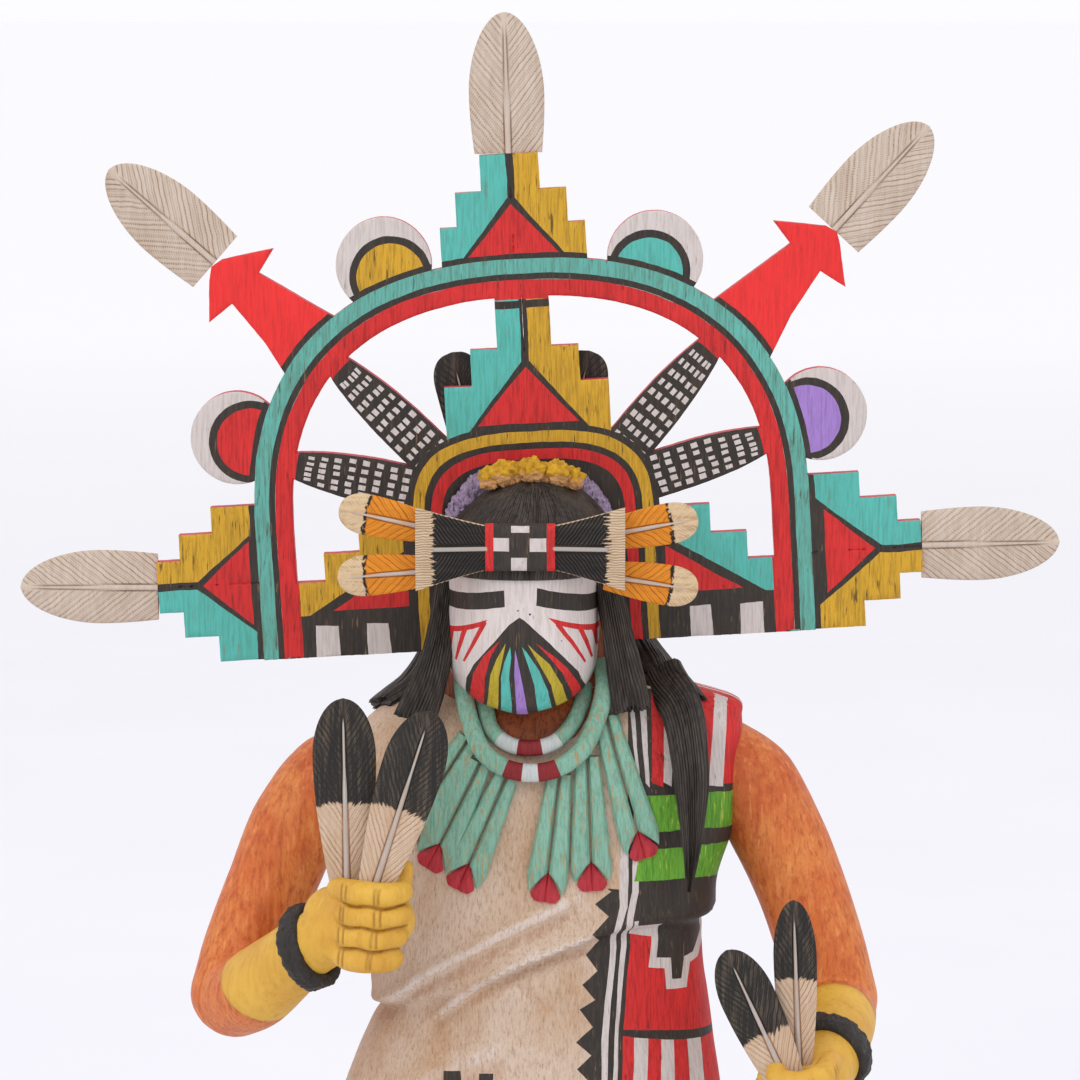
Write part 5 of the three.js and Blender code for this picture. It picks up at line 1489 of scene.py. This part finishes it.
add_body("purple_band", *band_roll(), PURPLE_BAND)


def blossoms():
    """Knobbly carved flowers in a row over the brow, and their fields."""
    parts, rise = [], []
    for k in range(7):
        u, odd = k / 3 - 1, k % 2
        size = 3.0 + 0.5 * odd
        centre = np.array([-2.4 + 10.0 * u, -11.4 - 1.0 * odd, 305.9 - 1.5 * u * u + 0.5 * odd])
        theta = np.linspace(0.02, math.pi - 0.02, 46)[:, None]
        phi = np.linspace(0, 2 * math.pi, 64, endpoint=False)[None, :]
        d = np.stack([np.sin(theta) * np.cos(phi), np.sin(theta) * np.sin(phi), np.cos(theta) + 0 * phi], -1)
        knob = 0.22 * rumple(d * 2.1 + k * 7.0, 1.0, k * 1.0, 3) + 0.1 * np.cos(5 * phi + k) * np.sin(theta)
        p = centre + d * (size * (1 + knob))[..., None] * np.array([1.0, 0.8, 0.92])
        parts.append(loft(p))
        rise.append(np.r_[((p[..., 2] - centre[2]) / size + 0.35 * knob * 2).ravel(), 1, -1])
    verts, faces = merge(parts)
    cut = np.clip(0.5 * rumple(verts, 1.3, 5.0, 2) + 0.2, 0, 1)
    # The field "dip" turns each flower tan below its middle.
    return verts, faces, {"cut": cut, "dip": np.clip((-0.05 - np.concatenate(rise)) / 0.25 + 0.5, 0, 1)}


v, f, fields = blossoms()
add("carved_flowers", v, f, BLOSSOM, "flower_paint", "crown_flowers", fields=fields, crease=70)

# ---------------------------------------------------------------- moccasins and base

BASE = {"radius": 63.0, "height": 13.0}


def boot(x):
    """A wrapped legging and the foot below it."""
    sole = BASE["height"] + 0.3
    angle = around(72, 60)
    z = np.linspace(sole, 62, 60)[:, None] + 0 * angle
    half = hermite([(sole, 9.4), (28, 9.5), (46, 10.6), (62, 11)], z)[..., 0]
    half = half + 0.35 * (1 - 2 * groove(z + 1.2 * np.sin(angle + x), 6.2, 0.12))
    leg = np.stack([x + half * np.sin(angle), -(half + 1) * np.cos(angle), z], -1)
    y = np.linspace(15, -35, 60)[:, None]
    levels = [(-35, 5, 5.5), (-30, 9, 8.5), (-20, 10.6, 11.5), (-6, 10, 15), (11, 8.6, 13), (15, 5, 7)]
    row = hermite(levels, y[:, 0])
    b = np.linspace(0, math.pi, 40)[None, :]
    foot = np.stack([x + row[:, :1] * np.cos(b), y + 0 * b, sole + row[:, 1:2] * np.sin(b) ** 0.9], -1)
    foot[..., 2] += 0.2 * rumple(foot, 7.0, 2.0) * np.sin(b)
    return loft(leg), loft(foot)


verts, faces = merge([part for x in (-21, 19) for part in boot(x)])
in_sole = [np.mean([verts[i][2] for i in f]) < BASE["height"] + 2.6 for f in faces]
add_body("wrapped_moccasins", verts, faces, [FOOT_WHITE, FOOT_BROWN], index=in_sole, crease=50)


def round_base():
    """A turned disc of cottonwood with a softened, slightly uneven edge."""
    r, h = BASE["radius"], BASE["height"]
    profile = [(0.02, 0), (r * 0.5, 0), (r - 2.4, 0), (r - 1.2, 0.3), (r - 0.4, 1.0), (r, 2.2),
               (r + 0.05, h / 2), (r, h - 2.4), (r - 0.5, h - 1.1), (r - 1.5, h - 0.3), (r - 2.8, h)]
    profile += [(r * share, h) for share in (0.8, 0.6, 0.4, 0.2)] + [(0.02, h)]
    place, _ = route([(a, b, 0) for a, b in profile], 150)
    a = np.linspace(0, 2 * math.pi, 256, endpoint=False)[None, :]
    out, up = place[:, :1], np.clip(place[:, 1:2], 0, h)
    radius = out - 0.05 * (1 + np.sin(up * 9)) * (out > r - 0.6)
    p = np.stack([radius * np.cos(a), radius * np.sin(a), up + 0 * a], -1)
    inner = np.clip(1 - np.abs(up - h / 2) / (h / 2), 0, 1)
    return loft(p + unit(p * [1, 1, 0]) * (0.12 * inner * rumple(p, 12.0, 2.0))[..., None])


add("turned_base", *round_base(), BASE_WOOD, "base_wood", "base", crease=50)

# ---------------------------------------------------------------- floor, light and camera


def floor():
    """The pale paper below and behind the doll, with painted shade near the doll that pales to white further
    off.
    """
    mesh = bpy.data.meshes.new("floor")
    mesh.from_pydata([(x, y, 0) for x, y in box(-300, -300, 300, 300)], [], [(0, 1, 2, 3)])
    m = Nodes("floor_paper", 0.85, 0.1)
    near = m.mix(m.ramp(m.noise(6, detail=2.0), 0.3, 0.7), rgb("#EAEAEF"), rgb("#E7E7ED"))
    far = m.node("VectorMath", {0: m.place}, operation="LENGTH").outputs["Value"]
    # Painted shade: the paper is greyer near the doll and whiter with distance from it.
    mesh.materials.append(m.finish(m.over(near, far, 0.3, 4.0, 1.0, "#FDFDFE")))
    placed("floor", mesh)


def aimed(name, data, place, aim):
    holder = placed(name, data)
    holder.location = place
    holder.rotation_euler = (Vector(aim) - Vector(place)).to_track_quat("-Z", "Y").to_euler()
    return holder


def lamp(name, place, aim, size, watts, colour):
    light = bpy.data.lights.new(name, "AREA")
    light.shape = "RECTANGLE"
    light.size, light.size_y = size
    light.energy = watts
    light.color = colour
    aimed(name, light, place, aim)


floor()
scene = bpy.context.scene
world = bpy.data.worlds.new("studio")
scene.world = world
world.use_nodes = True
world.node_tree.nodes["Background"].inputs["Color"].default_value = (0.985, 0.975, 1.0, 1.0)
world.node_tree.nodes["Background"].inputs["Strength"].default_value = 1.0
lamp("key", (-0.75, -1.15, 1.25), (0, 0, 0.29), (0.9, 0.9), 5.5, (1.0, 0.985, 0.965))
lamp("fill", (0.95, -1.1, 0.75), (0, 0, 0.28), (1.0, 1.0), 1.5, (0.98, 0.985, 1.0))
lamp("top", (0.1, 0.35, 1.5), (0, 0, 0.3), (1.1, 0.8), 2.5, (1.0, 0.99, 0.98))

AIM, RISE, FAR = Vector((-0.00025, 0, 0.2875)), math.radians(8), 0.93
lens = bpy.data.cameras.new("camera")
lens.sensor_width = 36
lens.lens = 124
scene.camera = aimed("camera", lens, AIM + Vector((0, -math.cos(RISE), math.sin(RISE))) * FAR, AIM)
scene.view_settings.view_transform = "Standard"

bpy.context.view_layer.update()


def plain(box):
    return [[float(c) for c in corner] for corner in box]
